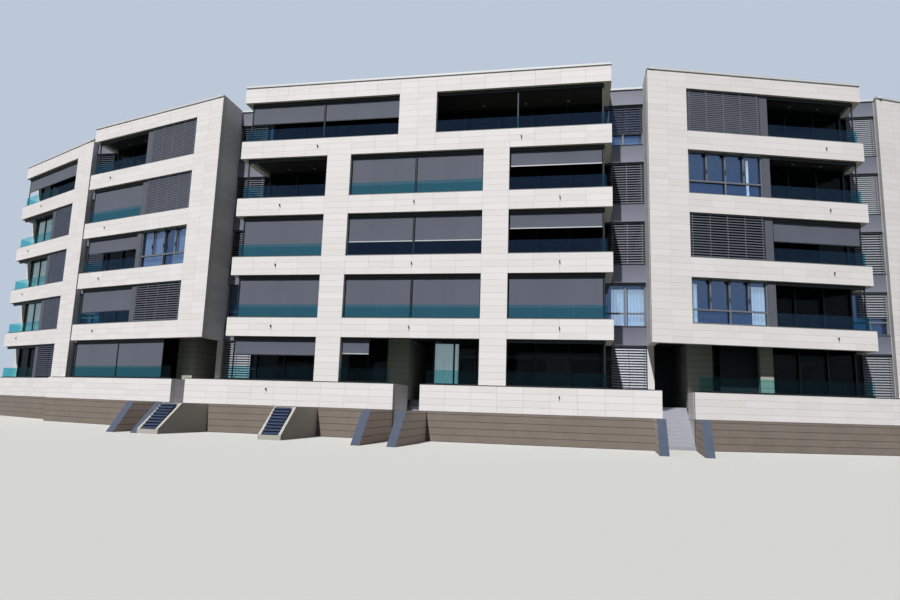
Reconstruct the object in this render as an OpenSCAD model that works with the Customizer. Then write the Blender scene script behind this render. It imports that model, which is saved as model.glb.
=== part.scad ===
// Apartment block of five white-clad wings on a stepped plan, drawn at half of real size.
// Lengths are millimetres of the 1:2 model, so a storey of 3.0 m is 1500 here.
// The front of the centre wing faces -Y. All cross walls run along Y, and only the fronts of the
// outer wings are turned, so a point on a wing is given by its run along the front and its depth
// along Y. The origin is the middle of the overall box, at the level of the lawn.

/* [Storeys] */
// Number of storeys above ground
storeys = 5; // [3:1:6]
// Floor to floor height
storey_h = 1500; // [1400:10:1700]
// Height of the garden wall above ground
garden_h = 1250; // [1150:10:1350]
// Level of the ground floor and of the passages
ground_floor = 910; // [880:10:1000]
// Height of each clad band
band_h = 450; // [350:10:520]
// Part of each band that stands above its floor
upstand = 200; // [150:10:260]
// Thickness of the floor slabs
slab_t = 150; // [120:5:180]
// Thickness of outer and party walls
wall_t = 150; // [120:5:180]

/* [Plan] */
// Width of the centre wing
centre_w = 9150; // [8600:50:9800]
// Width of the link beside the centre wing
inner_link_w = 825; // [650:25:1000]
// Width of the link between a side wing and an end wing
outer_link_w = 650; // [500:25:800]
// Width of a side wing along its front
side_w = 5310; // [4800:10:5800]
// Turn of a side wing's front, in degrees
side_turn = 16.7; // [12:0.1:20]
// Set-back of a side wing's near corner from the centre front
side_back = 310; // [200:10:450]
// Width of an end wing along its front
end_w = 4820; // [4500:10:5200]
// Turn of an end wing's front, in degrees
end_turn = 25; // [20:0.5:28]
// Set-back of an end wing's near corner from the side wing's far corner
end_back = 694; // [550:1:800]
// Depth of the inner link's front behind the centre front
inner_link_back = 1300; // [1100:10:1450]
// Depth of the outer link's front behind the side wing's far corner
outer_link_back = 864; // [760:1:1000]
// Depth of the end wing's balcony
end_loggia = 580; // [500:10:1100]
// Depth of the centre block
centre_depth = 6250; // [5500:50:6800]
// Depth of the side blocks from the centre front
side_depth = 7500; // [7000:50:8200]
// Depth of the end blocks from the centre front
end_depth = 9400; // [9000:50:9800]

/* [Front bays] */
// Width of a centre wing pier
centre_pier = 610; // [500:10:700]
// Width of the centre wing's middle bay
centre_mid = 3280; // [3000:10:3600]
// Width of the top storey's single pier
top_pier = 930; // [800:10:1100]
// Width of a side wing's closed pier
side_pier = 940; // [850:10:1050]
// Width of a side wing's front window
side_window = 1810; // [1600:10:2000]
// Width of a grey fin between window and balcony
fin_w = 190; // [150:10:240]
// Width of an end wing's closed pier
end_pier = 955; // [850:5:1050]
// Width of an end wing's front window
end_window = 1250; // [1100:10:1400]
// Half width of the centre passage
passage_half = 310; // [280:5:350]
// Length of the solid wall left of the centre passage, from the middle
hall_wall_end = 850; // [700:10:950]
// Run at which the ground glazing of a side wing starts
ground_wall_end = 1550; // [1400:10:1700]
// Run at which the pillar of the right wing's ground storey starts
pillar_from = 2620; // [2500:10:2700]
// Set-back of that pillar
pillar_back = 520; // [450:10:550]
// Width of that pillar
pillar_w = 320; // [200:10:350]
// Depth of that pillar
pillar_d = 200; // [150:10:220]
// Width of the small screen beside the centre passage
small_screen = 700; // [450:10:750]
// Length of each passage behind the front glazing
passage_deep = 2000; // [1500:50:2400]

/* [Approach] */
// Height of the bank that the approach walls hold
bank_h = 665; // [600:5:720]
// Number of risers in a flight of steps
risers = 11; // [9:1:13]
// Going of a step
going = 105; // [95:5:130]
// Set-back of the lowest riser behind the centre front
steps_back = 600; // [400:50:800]
// Reach of the centre approach walls in front of the centre front
centre_reach = 2350; // [2000:50:2500]
// Reach of the side approach walls in front of the centre front
side_reach = 1550; // [1400:50:1800]
// Thickness of the approach walls
cheek_t = 175; // [150:5:220]
// How far the front of the right approach's outer wall stands to the left of its back
splay = 210; // [100:10:240]
// Distance of the outer basement vent's left side from the middle
vent_far = 2600; // [2300:50:3200]
// How much further than a side approach that vent reaches
vent_more = 300; // [200:50:500]
// Width of a basement vent
vent_w = 500; // [400:10:600]
// Thickness of a vent's louvre panel
vent_t = 40; // [30:5:60]
// Height of a vent's foot above the lawn
vent_foot = 100; // [80:10:200]
// Thickness of a vent's walls and lid
kerb_t = 60; // [40:5:80]

/* [Glass, frames and shades] */
// Thickness of window frames along the depth
frame_t = 50; // [40:5:60]
// Face width of frame members
frame_f = 40; // [30:5:50]
// Thickness of glass sheets
glass_t = 10; // [8:1:14]
// Height of the glass balustrades
rail_h = 330; // [280:5:380]
// Set-back of the balustrade glass from the front
rail_back = 50; // [20:5:60]
// Distance of the balustrade glass from the open side of a balcony
rail_inset = 120; // [100:5:140]
// Length that a balustrade pane aims at
rail_pane = 800; // [600:10:1000]
// Set-back of front windows
window_back = 80; // [70:5:95]
// Thickness of a slatted blind
blind_t = 40; // [30:5:50]
// Set-back of the textile screens
screen_back = 105; // [95:5:110]
// Thickness of a textile screen
screen_t = 10; // [8:1:14]
// Depth of the screen head box
head_t = 70; // [50:5:70]
// Length of the head box below the band
head_drop = 80; // [60:5:110]
// Side of the slim screen posts
post_t = 30; // [24:2:40]
// Distance of the corner post from an open corner
corner_post = 190; // [180:5:240]
// Height of the fixed lower lights of windows
light_h = 330; // [280:10:380]

/* [Rear] */
// Width of the rear windows
rear_window = 1400; // [1200:50:1500]

/* [Hidden] */
front_y = (centre_reach - end_depth) / 2;
inner_x = centre_w / 2 + inner_link_w;
side_far_x = inner_x + side_w * cos(side_turn);
side_far_y = side_back + side_w * sin(side_turn);
end_x = side_far_x + outer_link_w;
end_y = side_far_y + end_back;
outer_link_y = side_far_y + outer_link_back;
end_far_x = end_x + end_w * cos(end_turn);
end_far_y = end_y + end_w * sin(end_turn);
roof_top = garden_h + storeys * storey_h;
roof_k = storeys;

// A wing is its near corner, the turn and width of its front, and its balcony depth
CENTRE = [-centre_w / 2, 0, 0, centre_w, inner_link_back];
SIDE = [inner_x, side_back, side_turn, side_w, outer_link_back];
END = [end_x, end_y, end_turn, end_w, end_loggia];

function band_top(k) = garden_h + k * storey_h;
function band_low(k) = band_top(k) - band_h;
function floor_top(k) = k == 0 ? ground_floor : band_top(k) - upstand;
function ceiling(k) = floor_top(k + 1) - slab_t;
function head_low(k) = band_low(k + 1) - head_drop;

// Point at run u along a wing's front and depth t along Y
function at(w, u, t) = [w[0] + u * cos(w[2]), front_y + w[1] + u * sin(w[2]) + t];
// Run along the front that a cross wall of thickness d takes up
function across(w, d) = d / cos(w[2]);
// Run at which a return of wall thickness starts at the far end
function far_in(w) = w[3] - across(w, wall_t);
// Bays of the side and end wings, from the closed pier outwards
side_fin = side_pier + side_window;
side_bay = side_fin + fin_w;
end_fin = end_pier + end_window;
end_bay = end_fin + fin_w;
// Bays of the centre wing
centre_end = (centre_w - centre_mid - 2 * centre_pier) / 2;
centre_near = centre_end;
centre_far = centre_w - centre_end - centre_pier;
top_near = (centre_w - top_pier) / 2;
function centre_piers_at(k) = k == storeys - 1 ? [[top_near, top_pier]]
    : [[centre_near, centre_pier], [centre_far, centre_pier]];

// Screens of each balcony bay: wing run from and to, storey, share that is let down, fields
CENTRE_SCREENS = [
    [corner_post, centre_near, 0, 0.38, 1],
    [centre_near + centre_pier, centre_near + centre_pier + small_screen, 0, 0.32, 1],
    [corner_post, centre_near, 1, 1, 1], [centre_near + centre_pier, centre_far, 1, 1, 2],
    [centre_far + centre_pier, centre_w - corner_post, 1, 1, 1],
    [corner_post, centre_near, 2, 1, 1], [centre_near + centre_pier, centre_far, 2, 0.64, 2],
    [centre_far + centre_pier, centre_w - corner_post, 2, 0.38, 1],
    [centre_near + centre_pier, centre_far, 3, 1, 2],
    [centre_far + centre_pier, centre_w - corner_post, 3, 0.38, 1],
    [corner_post, top_near, 4, 0.5, 2]];
left_screen_from = ground_wall_end - 100;
LEFT_SCREENS = [[left_screen_from, side_w - corner_post, 0, 1, 2],
    [side_bay, side_w - corner_post, 1, 0.65, 1], [side_bay, side_w - corner_post, 2, 0.42, 1],
    [side_bay, side_w - corner_post, 3, 1, 1]];
RIGHT_SCREENS = [[side_bay, side_w - corner_post, 2, 0.5, 1]];
FAR_LEFT_SCREENS = [[end_pier, end_w - corner_post, 4, 0.45, 1]];
// Slatted blinds of the front windows: storey and share that is let down
LEFT_BLINDS = [[1, 1], [3, 1], [4, 1]];
RIGHT_BLINDS = [[2, 1], [4, 1]];
FAR_BLINDS = [[0, 1], [1, 1], [2, 1], [3, 1]];
INNER_LINK_BLINDS = [[0, 1], [2, 1], [3, 1], [4, 0.68]];
OUTER_LINK_BLINDS = [[0, 1], [1, 0.6], [2, 1], [3, 1], [4, 1]];

module mirrored() { mirror([1, 0, 0]) children(); }
module both() { children(); mirrored() children(); }

// Upright slab between two runs and two depths of a wing, from z0 to z1
module prism(w, u0, u1, t0, t1, z0, z1) {
    translate([0, 0, z0]) linear_extrude(z1 - z0)
        polygon([at(w, u0, t0), at(w, u1, t0), at(w, u1, t1), at(w, u0, t1)]);
}

// Upright slab on a plan outline measured from the centre front
module slab(pts, z0, z1) {
    translate([0, front_y, z0]) linear_extrude(z1 - z0) polygon(pts);
}

module box(x0, x1, y0, y1, z0, z1) { slab([[x0, y0], [x1, y0], [x1, y1], [x0, y1]], z0, z1); }

// Openings for the panes between upright bars at runs `ups`
module lights(w, u0, u1, t, z0, z1, ups) {
    f = frame_f;
    from = concat([u0 + f], [for (u = ups) u + f / 2]);
    to = concat([for (u = ups) u - f / 2], [u1 - f]);
    for (i = [0 : len(ups)]) prism(w, from[i], to[i], t - 1, t + frame_t + 1, z0, z1);
}

// Window frame with upright bars at runs `ups` and, if low > 0, two fixed lower lights
module frame(w, u0, u1, t, z0, z1, ups, low) {
    f = frame_f;
    difference() {
        prism(w, u0, u1, t, t + frame_t, z0, z1);
        lights(w, u0, u1, t, low > 0 ? z0 + low + f / 2 : z0 + f, z1 - f, ups);
        if (low > 0) lights(w, u0, u1, t, z0 + f, z0 + low - f / 2, [(u0 + u1) / 2]);
    }
}

// Evenly spaced inner bars that make n fields between two runs
function bars(u0, u1, n) = n < 2 ? [] : [for (i = [1 : n - 1]) u0 + (u1 - u0) * i / n];

// Clad bands of a wing over its whole front, with the roof fascia as the last one
module bands(w) {
    start = w == CENTRE ? 0 : (w == SIDE ? side_pier : end_pier);
    for (k = [1 : roof_k]) prism(w, start, w[3], 0, wall_t, band_low(k), band_top(k));
}

module centre_piers() {
    for (k = [0 : storeys - 1]) for (p = centre_piers_at(k))
        prism(CENTRE, p[0], p[0] + p[1], 0, wall_t, band_top(k), band_low(k + 1));
}

// Closed pier beside the link, and the slim fins beside the windows
module turned_piers(w, pier, fin, foot, first) {
    prism(w, 0, pier, 0, wall_t, foot, roof_top);
    for (k = [first : storeys - 1]) if (w == SIDE || k < storeys - 1)
        prism(w, fin, fin + fin_w, window_back - 20, wall_t, band_top(k), band_low(k + 1));
}
module side_piers() { turned_piers(SIDE, side_pier, side_fin, band_low(1), 1); }
module end_piers() { turned_piers(END, end_pier, end_fin, 0, 0); }

// Side lengths of the bands at the open balcony corners
module returns_of(w, y_end, first) {
    u = far_in(w);
    for (k = [first : roof_k])
        slab([at(w, u, wall_t) - [0, front_y], at(w, w[3], wall_t) - [0, front_y],
            [at(w, w[3], 0)[0], y_end], [at(w, u, 0)[0], y_end]],
            k == 0 ? 0 : band_low(k), band_top(k));
}
module band_returns() {
    both() {
        returns_of(CENTRE, inner_link_back, 1);
        returns_of(SIDE, outer_link_y, 1);
        returns_of(END, at(END, far_in(END), end_loggia)[1] - front_y, 0);
    }
}

// Closed side wall of the side wings where they project past the link
module side_walls() {
    both() {
        slab([at(SIDE, 0, wall_t) - [0, front_y], at(SIDE, across(SIDE, wall_t), wall_t) - [0, front_y],
            [inner_x + wall_t, inner_link_back], [inner_x, inner_link_back]],
            band_low(1), roof_top);
    }
}

module party_walls() {
    both() {
        box(inner_x, inner_x + wall_t, inner_link_back, side_depth, 0, roof_top);
        slab([at(END, 0, wall_t) - [0, front_y], at(END, across(END, wall_t), wall_t) - [0, front_y],
            [end_x + wall_t, end_depth], [end_x, end_depth]], 0, roof_top);
    }
}

// Walls across the balconies behind each pier and fin
module cross_walls() {
    for (k = [0 : storeys - 1]) for (p = centre_piers_at(k))
        prism(CENTRE, p[0] + (p[1] - wall_t) / 2, p[0] + (p[1] + wall_t) / 2, wall_t,
            inner_link_back, floor_top(k), ceiling(k));
    both() {
        for (k = [1 : storeys - 1])
            prism(SIDE, side_fin, side_bay, wall_t, outer_link_back, floor_top(k), ceiling(k));
        for (k = [0 : storeys - 2])
            prism(END, end_fin, end_bay, wall_t, end_loggia, floor_top(k), ceiling(k));
    }
}

function slab_low(k) = floor_top(k) - slab_t;

module centre_floors() {
    for (s = [-1, 1])
        box(min(s * passage_half, s * inner_x), max(s * passage_half, s * inner_x),
            inner_link_back + wall_t, centre_depth - wall_t, slab_low(0), floor_top(0));
    for (k = [1 : roof_k])
        box(-inner_x, inner_x, inner_link_back + wall_t, centre_depth - wall_t,
            slab_low(k), floor_top(k));
}

// Floors of a side block behind its balconies
module side_floors() {
    for (k = [0 : roof_k]) {
        u0 = k == 0 ? side_pier : across(SIDE, wall_t);
        u1 = far_in(SIDE);
        t = outer_link_back + wall_t;
        slab([at(SIDE, u0, t) - [0, front_y], at(SIDE, u1, t) - [0, front_y],
            [at(SIDE, u1, 0)[0], side_depth - wall_t], [at(SIDE, u0, 0)[0], side_depth - wall_t]],
            slab_low(k), floor_top(k));
    }
}

module end_floors() {
    for (k = [0 : roof_k]) {
        u0 = across(END, wall_t);
        u1 = far_in(END);
        t = end_loggia + wall_t;
        slab([at(END, u0, t) - [0, front_y], at(END, u1, t) - [0, front_y],
            [at(END, u1, 0)[0], end_depth - wall_t], [at(END, u0, 0)[0], end_depth - wall_t]],
            slab_low(k), floor_top(k));
    }
}

link_x = at(SIDE, far_in(SIDE), 0)[0];
link_run = (end_x - inner_x) / cos(side_turn);
module link_floors() {
    both() {
        slab([at(SIDE, far_in(SIDE), wall_t) - [0, front_y], at(SIDE, link_run, wall_t) - [0, front_y],
            [end_x, side_depth - wall_t], [link_x, side_depth - wall_t]], slab_low(0), floor_top(0));
        for (k = [1 : roof_k])
            box(link_x, end_x, outer_link_y + wall_t, side_depth - wall_t, slab_low(k), floor_top(k));
    }
}

// Front strips of the floors, which carry the balconies and the front rooms
module balcony_slabs() {
    both() {
        box(passage_half + low_t, inner_x + wall_t - low_t, wall_t, inner_link_back,
            slab_low(0), floor_top(0));
        box(passage_half, inner_x, inner_link_back, inner_link_back + wall_t, slab_low(0), floor_top(0));
        prism(SIDE, side_pier + across(SIDE, low_t), far_in(SIDE), wall_t, outer_link_back,
            slab_low(0), floor_top(0));
        prism(SIDE, side_pier, far_in(SIDE), outer_link_back, outer_link_back + wall_t,
            slab_low(0), floor_top(0));
        for (k = [1 : roof_k])
            prism(SIDE, across(SIDE, wall_t), far_in(SIDE), wall_t, outer_link_back + wall_t,
                slab_low(k), floor_top(k));
        for (k = [0 : roof_k])
            prism(END, across(END, wall_t), far_in(END), wall_t, end_loggia + wall_t,
                slab_low(k), floor_top(k));
    }
    for (k = [1 : roof_k])
        prism(CENTRE, wall_t, centre_w - wall_t, wall_t, inner_link_back + wall_t,
            slab_low(k), floor_top(k));
}

// Glazed rear walls of the balconies, and the windows in the turned fronts, as
// [run from, run to, depth, storey, fields, rail height, foot, top]
centre_edges = [for (p = centre_piers_at(0)) p[0] + p[1] / 2];
function centre_lights(k) = k == storeys - 1 ? [
        [wall_t, centre_w / 2 - wall_t / 2, 5], [centre_w / 2 + wall_t / 2, centre_w - wall_t, 5]]
    : [[wall_t, centre_edges[0] - wall_t / 2, 3],
       if (k > 0) [centre_edges[0] + wall_t / 2, centre_edges[1] - wall_t / 2, 4],
       if (k == 0) [centre_edges[0] + wall_t / 2, centre_w / 2 - hall_wall_end, 2],
       if (k == 0) [centre_w / 2 + passage_half, centre_edges[1] - wall_t / 2, 3],
       [centre_edges[1] + wall_t / 2, centre_w - wall_t, 3]];
module centre_windows() {
    for (k = [0 : storeys - 1]) for (b = centre_lights(k))
        frame(CENTRE, b[0], b[1], inner_link_back, floor_top(k), ceiling(k), bars(b[0], b[1], b[2]), 0);
}
function side_lights(k) = k == 0
    ? [[ground_wall_end, far_in(SIDE), outer_link_back, floor_top(k), ceiling(k), 5, 0]]
    : [[side_pier, side_fin, window_back, band_top(k), band_low(k + 1), 4, light_h],
       [side_bay, far_in(SIDE), outer_link_back, floor_top(k), ceiling(k), 3, 0]];
function end_lights(k) = k == storeys - 1
    ? [[end_pier, far_in(END), end_loggia, floor_top(k), ceiling(k), 5, 0]]
    : [[end_pier, end_fin, window_back, band_top(k), band_low(k + 1), 2, light_h],
       [end_bay, far_in(END), end_loggia, floor_top(k), ceiling(k), 3, 0]];
module wing_windows(w) {
    for (k = [0 : storeys - 1]) for (b = w == SIDE ? side_lights(k) : end_lights(k))
        frame(w, b[0], b[1], b[2], b[3], b[4], bars(b[0], b[1], b[5]), b[6]);
}

// Link fronts run along X and are measured on wings of their own
INNER_LINK = [centre_w / 2 - wall_t, inner_link_back, 0, inner_link_w + wall_t, 0];
OUTER_LINK = [link_x, outer_link_y, 0, end_x - link_x, 0];
module link_spandrels() {
    both() for (w = [INNER_LINK, OUTER_LINK]) for (k = [0 : roof_k])
        prism(w, 0, w[3], 0, wall_t, k == 0 ? floor_top(0) : band_low(k), band_top(k));
}
module link_windows() {
    both() for (w = [INNER_LINK, OUTER_LINK]) for (k = [0 : storeys - 1])
        frame(w, 0, w[3], window_back, band_top(k), band_low(k + 1), bars(0, w[3], 2), light_h);
}

// Glass behind every front frame
module panes(w, lights) {
    for (b = lights)
        prism(w, b[0], b[1], b[2] + frame_t, b[2] + frame_t + glass_t, b[3], b[4]);
}
module front_glass() {
    for (k = [0 : storeys - 1]) for (b = centre_lights(k))
        prism(CENTRE, b[0], b[1], inner_link_back + frame_t, inner_link_back + frame_t + glass_t,
            floor_top(k), ceiling(k));
    both() for (k = [0 : storeys - 1]) {
        panes(SIDE, side_lights(k));
        panes(END, end_lights(k));
        for (w = [INNER_LINK, OUTER_LINK])
            prism(w, 0, w[3], window_back + frame_t, window_back + frame_t + glass_t,
                band_top(k), band_low(k + 1));
    }
}

// A row of balustrade panes standing on a band, with small open joints
module rail_row(w, u0, u1, z) {
    n = max(1, round((u1 - u0) / rail_pane));
    step = (u1 - u0) / n;
    for (i = [0 : n - 1])
        prism(w, u0 + i * step + 5, u0 + (i + 1) * step - 5, rail_back, rail_back + glass_t,
            z, z + rail_h);
}
// A balustrade pane along the return of an open corner
module rail_return(w, y_end, z) {
    u0 = w[3] - across(w, rail_inset + glass_t);
    u1 = w[3] - across(w, rail_inset);
    t = rail_back + glass_t + 5;
    slab([at(w, u0, t) - [0, front_y], at(w, u1, t) - [0, front_y],
        [at(w, u1, 0)[0], y_end - 20], [at(w, u0, 0)[0], y_end - 20]], z, z + rail_h);
}
module balustrades() {
    for (k = [0 : storeys - 1]) {
        e = rail_inset;
        if (k < storeys - 1) {
            rail_row(CENTRE, e, centre_near, band_top(k));
            if (k > 0) rail_row(CENTRE, centre_near + centre_pier, centre_far, band_top(k));
            if (k == 0) for (s = [-1, 1]) {
                u = centre_w / 2 + s * (passage_half + e);
                rail_row(CENTRE, s < 0 ? centre_near + centre_pier : u, s < 0 ? u : centre_far, band_top(k));
            }
            rail_row(CENTRE, centre_far + centre_pier, centre_w - e, band_top(k));
        } else {
            rail_row(CENTRE, e, top_near, band_top(k));
            rail_row(CENTRE, top_near + top_pier, centre_w - e, band_top(k));
        }
        both() {
            if (k > 0) rail_return(CENTRE, inner_link_back, band_top(k));
            rail_row(SIDE, k == 0 ? side_pier + e : side_bay, side_w - e, band_top(k));
            if (k > 0) rail_return(SIDE, outer_link_y, band_top(k));
            rail_row(END, k < storeys - 1 ? end_bay : end_pier, end_w - e, band_top(k));
            rail_return(END, at(END, far_in(END), end_loggia)[1] - front_y, band_top(k));
        }
    }
}

// Textile screens hanging from their head boxes
module hang(w, list) {
    for (s = list) {
        step = (s[1] - s[0]) / s[4];
        for (i = [0 : s[4] - 1]) {
            top = head_low(s[2]);
            prism(w, s[0] + i * step + post_t, s[0] + (i + 1) * step - post_t,
                screen_back, screen_back + screen_t, top - s[3] * (top - band_top(s[2])), top);
        }
    }
}
module screens() {
    hang(CENTRE, CENTRE_SCREENS);
    mirrored() hang(SIDE, LEFT_SCREENS);
    hang(SIDE, RIGHT_SCREENS);
    mirrored() hang(END, FAR_LEFT_SCREENS);
    // The one in the right wing's ground storey hangs in line with the pillar's back
    t = pillar_back + pillar_d;
    prism(SIDE, ground_wall_end + wall_t, pillar_from + pillar_w / 2, t, t + screen_t,
        floor_top(0), ceiling(0));
}

// Slatted blinds in front of the windows
module blind_list(w, u0, u1, list) {
    for (s = list) {
        top = band_low(s[0] + 1);
        prism(w, u0 + 20, u1 - 20, window_back - blind_t - 10, window_back - 10,
            top - s[1] * (top - band_top(s[0])), top);
    }
}
module blinds() {
    mirrored() blind_list(SIDE, side_pier, side_fin, LEFT_BLINDS);
    blind_list(SIDE, side_pier, side_fin, RIGHT_BLINDS);
    both() {
        blind_list(END, end_pier, end_fin, FAR_BLINDS);
        blind_list(INNER_LINK, wall_t, INNER_LINK[3], INNER_LINK_BLINDS);
        blind_list(OUTER_LINK, wall_t, OUTER_LINK[3], OUTER_LINK_BLINDS);
    }
}

// Head box under the band over every balcony bay
module heads_of(w, k, u0, u1) {
    t0 = screen_back + (screen_t - head_t) / 2;
    prism(w, u0, u1, t0, t0 + head_t, head_low(k), band_low(k + 1));
}
bay_end = corner_post - post_t / 2;
module screen_heads() {
    for (k = [0 : storeys - 1]) {
        if (k < storeys - 1) {
            heads_of(CENTRE, k, bay_end, centre_near);
            heads_of(CENTRE, k, centre_near + centre_pier,
                k == 0 ? centre_near + centre_pier + small_screen : centre_far);
            heads_of(CENTRE, k, centre_far + centre_pier, centre_w - bay_end);
        } else {
            heads_of(CENTRE, k, bay_end, top_near);
            heads_of(CENTRE, k, top_near + top_pier, centre_w - bay_end);
        }
        both() {
            if (k > 0) heads_of(SIDE, k, side_bay, side_w - bay_end);
            heads_of(END, k, k < storeys - 1 ? end_bay : end_pier, end_w - bay_end);
        }
    }
    mirrored() heads_of(SIDE, 0, left_screen_from, side_w - bay_end);
}

// Slim posts at the open corners and between the fields of a screen
module post(w, u, k) {
    t0 = screen_back + (screen_t - post_t) / 2;
    prism(w, u - post_t / 2, u + post_t / 2, t0, t0 + post_t, band_top(k), head_low(k));
}
module screen_posts() {
    for (k = [0 : storeys - 1]) {
        post(CENTRE, corner_post, k);
        post(CENTRE, centre_w - corner_post, k);
        if (k > 0) both() post(SIDE, side_w - corner_post, k);
    }
    for (k = [1 : storeys - 2]) post(CENTRE, centre_w / 2, k);
    post(CENTRE, (corner_post + top_near) / 2, storeys - 1);
    post(CENTRE, (centre_w - corner_post + top_near + top_pier) / 2, storeys - 1);
    mirrored() {
        post(SIDE, side_w - corner_post, 0);
        post(SIDE, (left_screen_from + side_w - corner_post) / 2, 0);
        post(END, end_w - corner_post, storeys - 1);
    }
}

// Low walls of the front gardens, clad above the bank and plain below it
module low_walls(z0, z1) {
    both() {
        box(passage_half, inner_x + wall_t, 0, wall_t, z0, z1);
        prism(SIDE, side_pier, link_run + across(SIDE, wall_t), 0, wall_t, z0, z1);
        prism(END, end_pier, end_w, 0, wall_t, z0, z1);
    }
}
module garden_walls() { low_walls(bank_h, garden_h); }
module plinth_walls() { low_walls(0, bank_h); }

// Low walls along the passages and beside the outer links
low_t = wall_t / 2;
module terrace_walls() {
    both() {
        box(passage_half, passage_half + low_t, wall_t, inner_link_back, 0, garden_h);
        box(inner_x + wall_t - low_t, inner_x + wall_t, wall_t, inner_link_back, 0, garden_h);
        prism(SIDE, side_pier, side_pier + across(SIDE, low_t), wall_t, outer_link_back, 0, garden_h);
        slab([at(SIDE, link_run, wall_t) - [0, front_y],
            at(SIDE, link_run + across(SIDE, wall_t), wall_t) - [0, front_y],
            at(END, across(END, wall_t), 0) - [0, front_y], [end_x, end_y]], 0, garden_h);
    }
}

// Solid walls of the ground storey: beside the passages and the pillar of the right wing
passage_end = inner_link_back + passage_deep;
side_passage_x = at(SIDE, side_pier, 0)[0];
side_passage_y = at(SIDE, side_pier, 0)[1] - front_y;
side_passage_end = side_passage_y + outer_link_back + passage_deep;
stair_top = steps_back + risers * going;
module entrance_walls() {
    box(-hall_wall_end, -passage_half, inner_link_back, inner_link_back + wall_t, floor_top(0), ceiling(0));
    for (s = [-1, 1])
        box(min(s * passage_half, s * (passage_half + 60)), max(s * passage_half, s * (passage_half + 60)),
            inner_link_back + wall_t + 5, passage_end, floor_top(0), ceiling(0));
    both() {
        prism(SIDE, side_pier, ground_wall_end, outer_link_back, outer_link_back + wall_t,
            floor_top(0), ceiling(0));
        box(side_passage_x, side_passage_x + 60, side_passage_y + outer_link_back + wall_t + 25,
            side_passage_end, floor_top(0), ceiling(0));
    }
    prism(SIDE, pillar_from, pillar_from + pillar_w, pillar_back, pillar_back + pillar_d,
        floor_top(0), ceiling(0));
}

// Floors of the passages, from the top step inwards
module passage_floors() {
    box(-passage_half, passage_half, stair_top, centre_depth - wall_t, slab_low(0), floor_top(0));
    both() box(inner_x + wall_t, side_passage_x, stair_top, side_depth - wall_t,
        slab_low(0), floor_top(0));
}

// Glazed entrance doors at the inner ends of the passages
module entrance_doors() {
    box(-passage_half, passage_half, passage_end - frame_t, passage_end, floor_top(0), ceiling(0));
    both() box(inner_x + wall_t, side_passage_x, side_passage_end - frame_t, side_passage_end,
        floor_top(0), ceiling(0));
}

// Upright plate along Y with a given outline of depth and height
module profile(x0, x1, pts) {
    translate([x0, front_y, 0]) rotate([90, 0, 90]) linear_extrude(x1 - x0) polygon(pts);
}

// A flight of steps in a passage, between the low walls
rise = ground_floor / risers;
module flight(x0, x1) {
    steps = [for (i = [0 : risers - 1]) each
        [[steps_back + i * going, i * rise], [steps_back + i * going, (i + 1) * rise]]];
    profile(x0, x1, concat(steps, [[stair_top, ground_floor], [stair_top, slab_low(0)],
        [steps_back + slab_t, 0]]));
}
module approach_steps() {
    flight(-passage_half, passage_half);
    both() flight(inner_x + wall_t, side_passage_x);
}

// Walls that hold the bank beside an approach, with sloping ends. The inner face runs from x0 at
// the front to x1 at the building, and the wall lies on side s of it.
module approach_wall(x0, x1, s, reach, back) {
    intersection() {
        slab([[x0, -reach], [x0 + s * cheek_t, -reach], [x1 + s * cheek_t, back], [x1, back]], 0, bank_h);
        profile(min(x0, x1) - cheek_t, max(x0, x1) + cheek_t,
            [[-reach, 0], [bank_h - reach, bank_h], [back, bank_h], [back, 0]]);
    }
}
module approach_walls() {
    x0 = inner_x + wall_t;
    both() approach_wall(passage_half - splay / 5, passage_half, 1, centre_reach, 0);
    // The right approach leans to the left, and the left one is drawn in from both sides
    approach_wall(x0 - splay * 2 / 5, x0, -1, side_reach, 0);
    approach_wall(side_passage_x - splay, side_passage_x, 1, side_reach, side_passage_y);
    mirrored() {
        approach_wall(x0 + splay, x0, -1, side_reach, 0);
        approach_wall(side_passage_x - splay * 3 / 5, side_passage_x, 1, side_reach, side_passage_y);
    }
}

// Basement vents in the bank as [left side, reach, shift of the front to the left]: sloping louvre
// panels between walls with a lid
VENTS = [[cheek_t - inner_x - wall_t, side_reach, splay], [-vent_far, side_reach + vent_more, 0]];
module vent_part(v, from, to, pts) {
    intersection() {
        slab([[v[0] + from - v[2], -v[1]], [v[0] + to - v[2], -v[1]], [v[0] + to, 0], [v[0] + from, 0]],
            0, bank_h);
        profile(v[0] + from - v[2], v[0] + to, pts);
    }
}
module vent_kerbs() {
    top = bank_h - kerb_t;
    for (v = VENTS) {
        back = bank_h - v[1];
        for (x = [0, vent_w - kerb_t])
            vent_part(v, x, x + kerb_t,
                [[-v[1], 0], [-v[1], vent_foot], [back, bank_h], [0, bank_h], [0, 0]]);
        vent_part(v, kerb_t, vent_w - kerb_t, [[back, top], [back, bank_h], [0, bank_h], [0, top]]);
        vent_part(v, kerb_t, vent_w - kerb_t,
            [[-v[1], 0], [-v[1], vent_foot], [kerb_t - v[1], vent_foot], [kerb_t - v[1], 0]]);
    }
}
module vent_louvres() {
    for (v = VENTS) {
        run = bank_h - vent_foot;
        vent_part(v, kerb_t, vent_w - kerb_t, [[-v[1], vent_foot], [run - v[1], bank_h],
            [run - v[1], bank_h - vent_t], [vent_t - v[1], vent_foot]]);
    }
}

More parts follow.
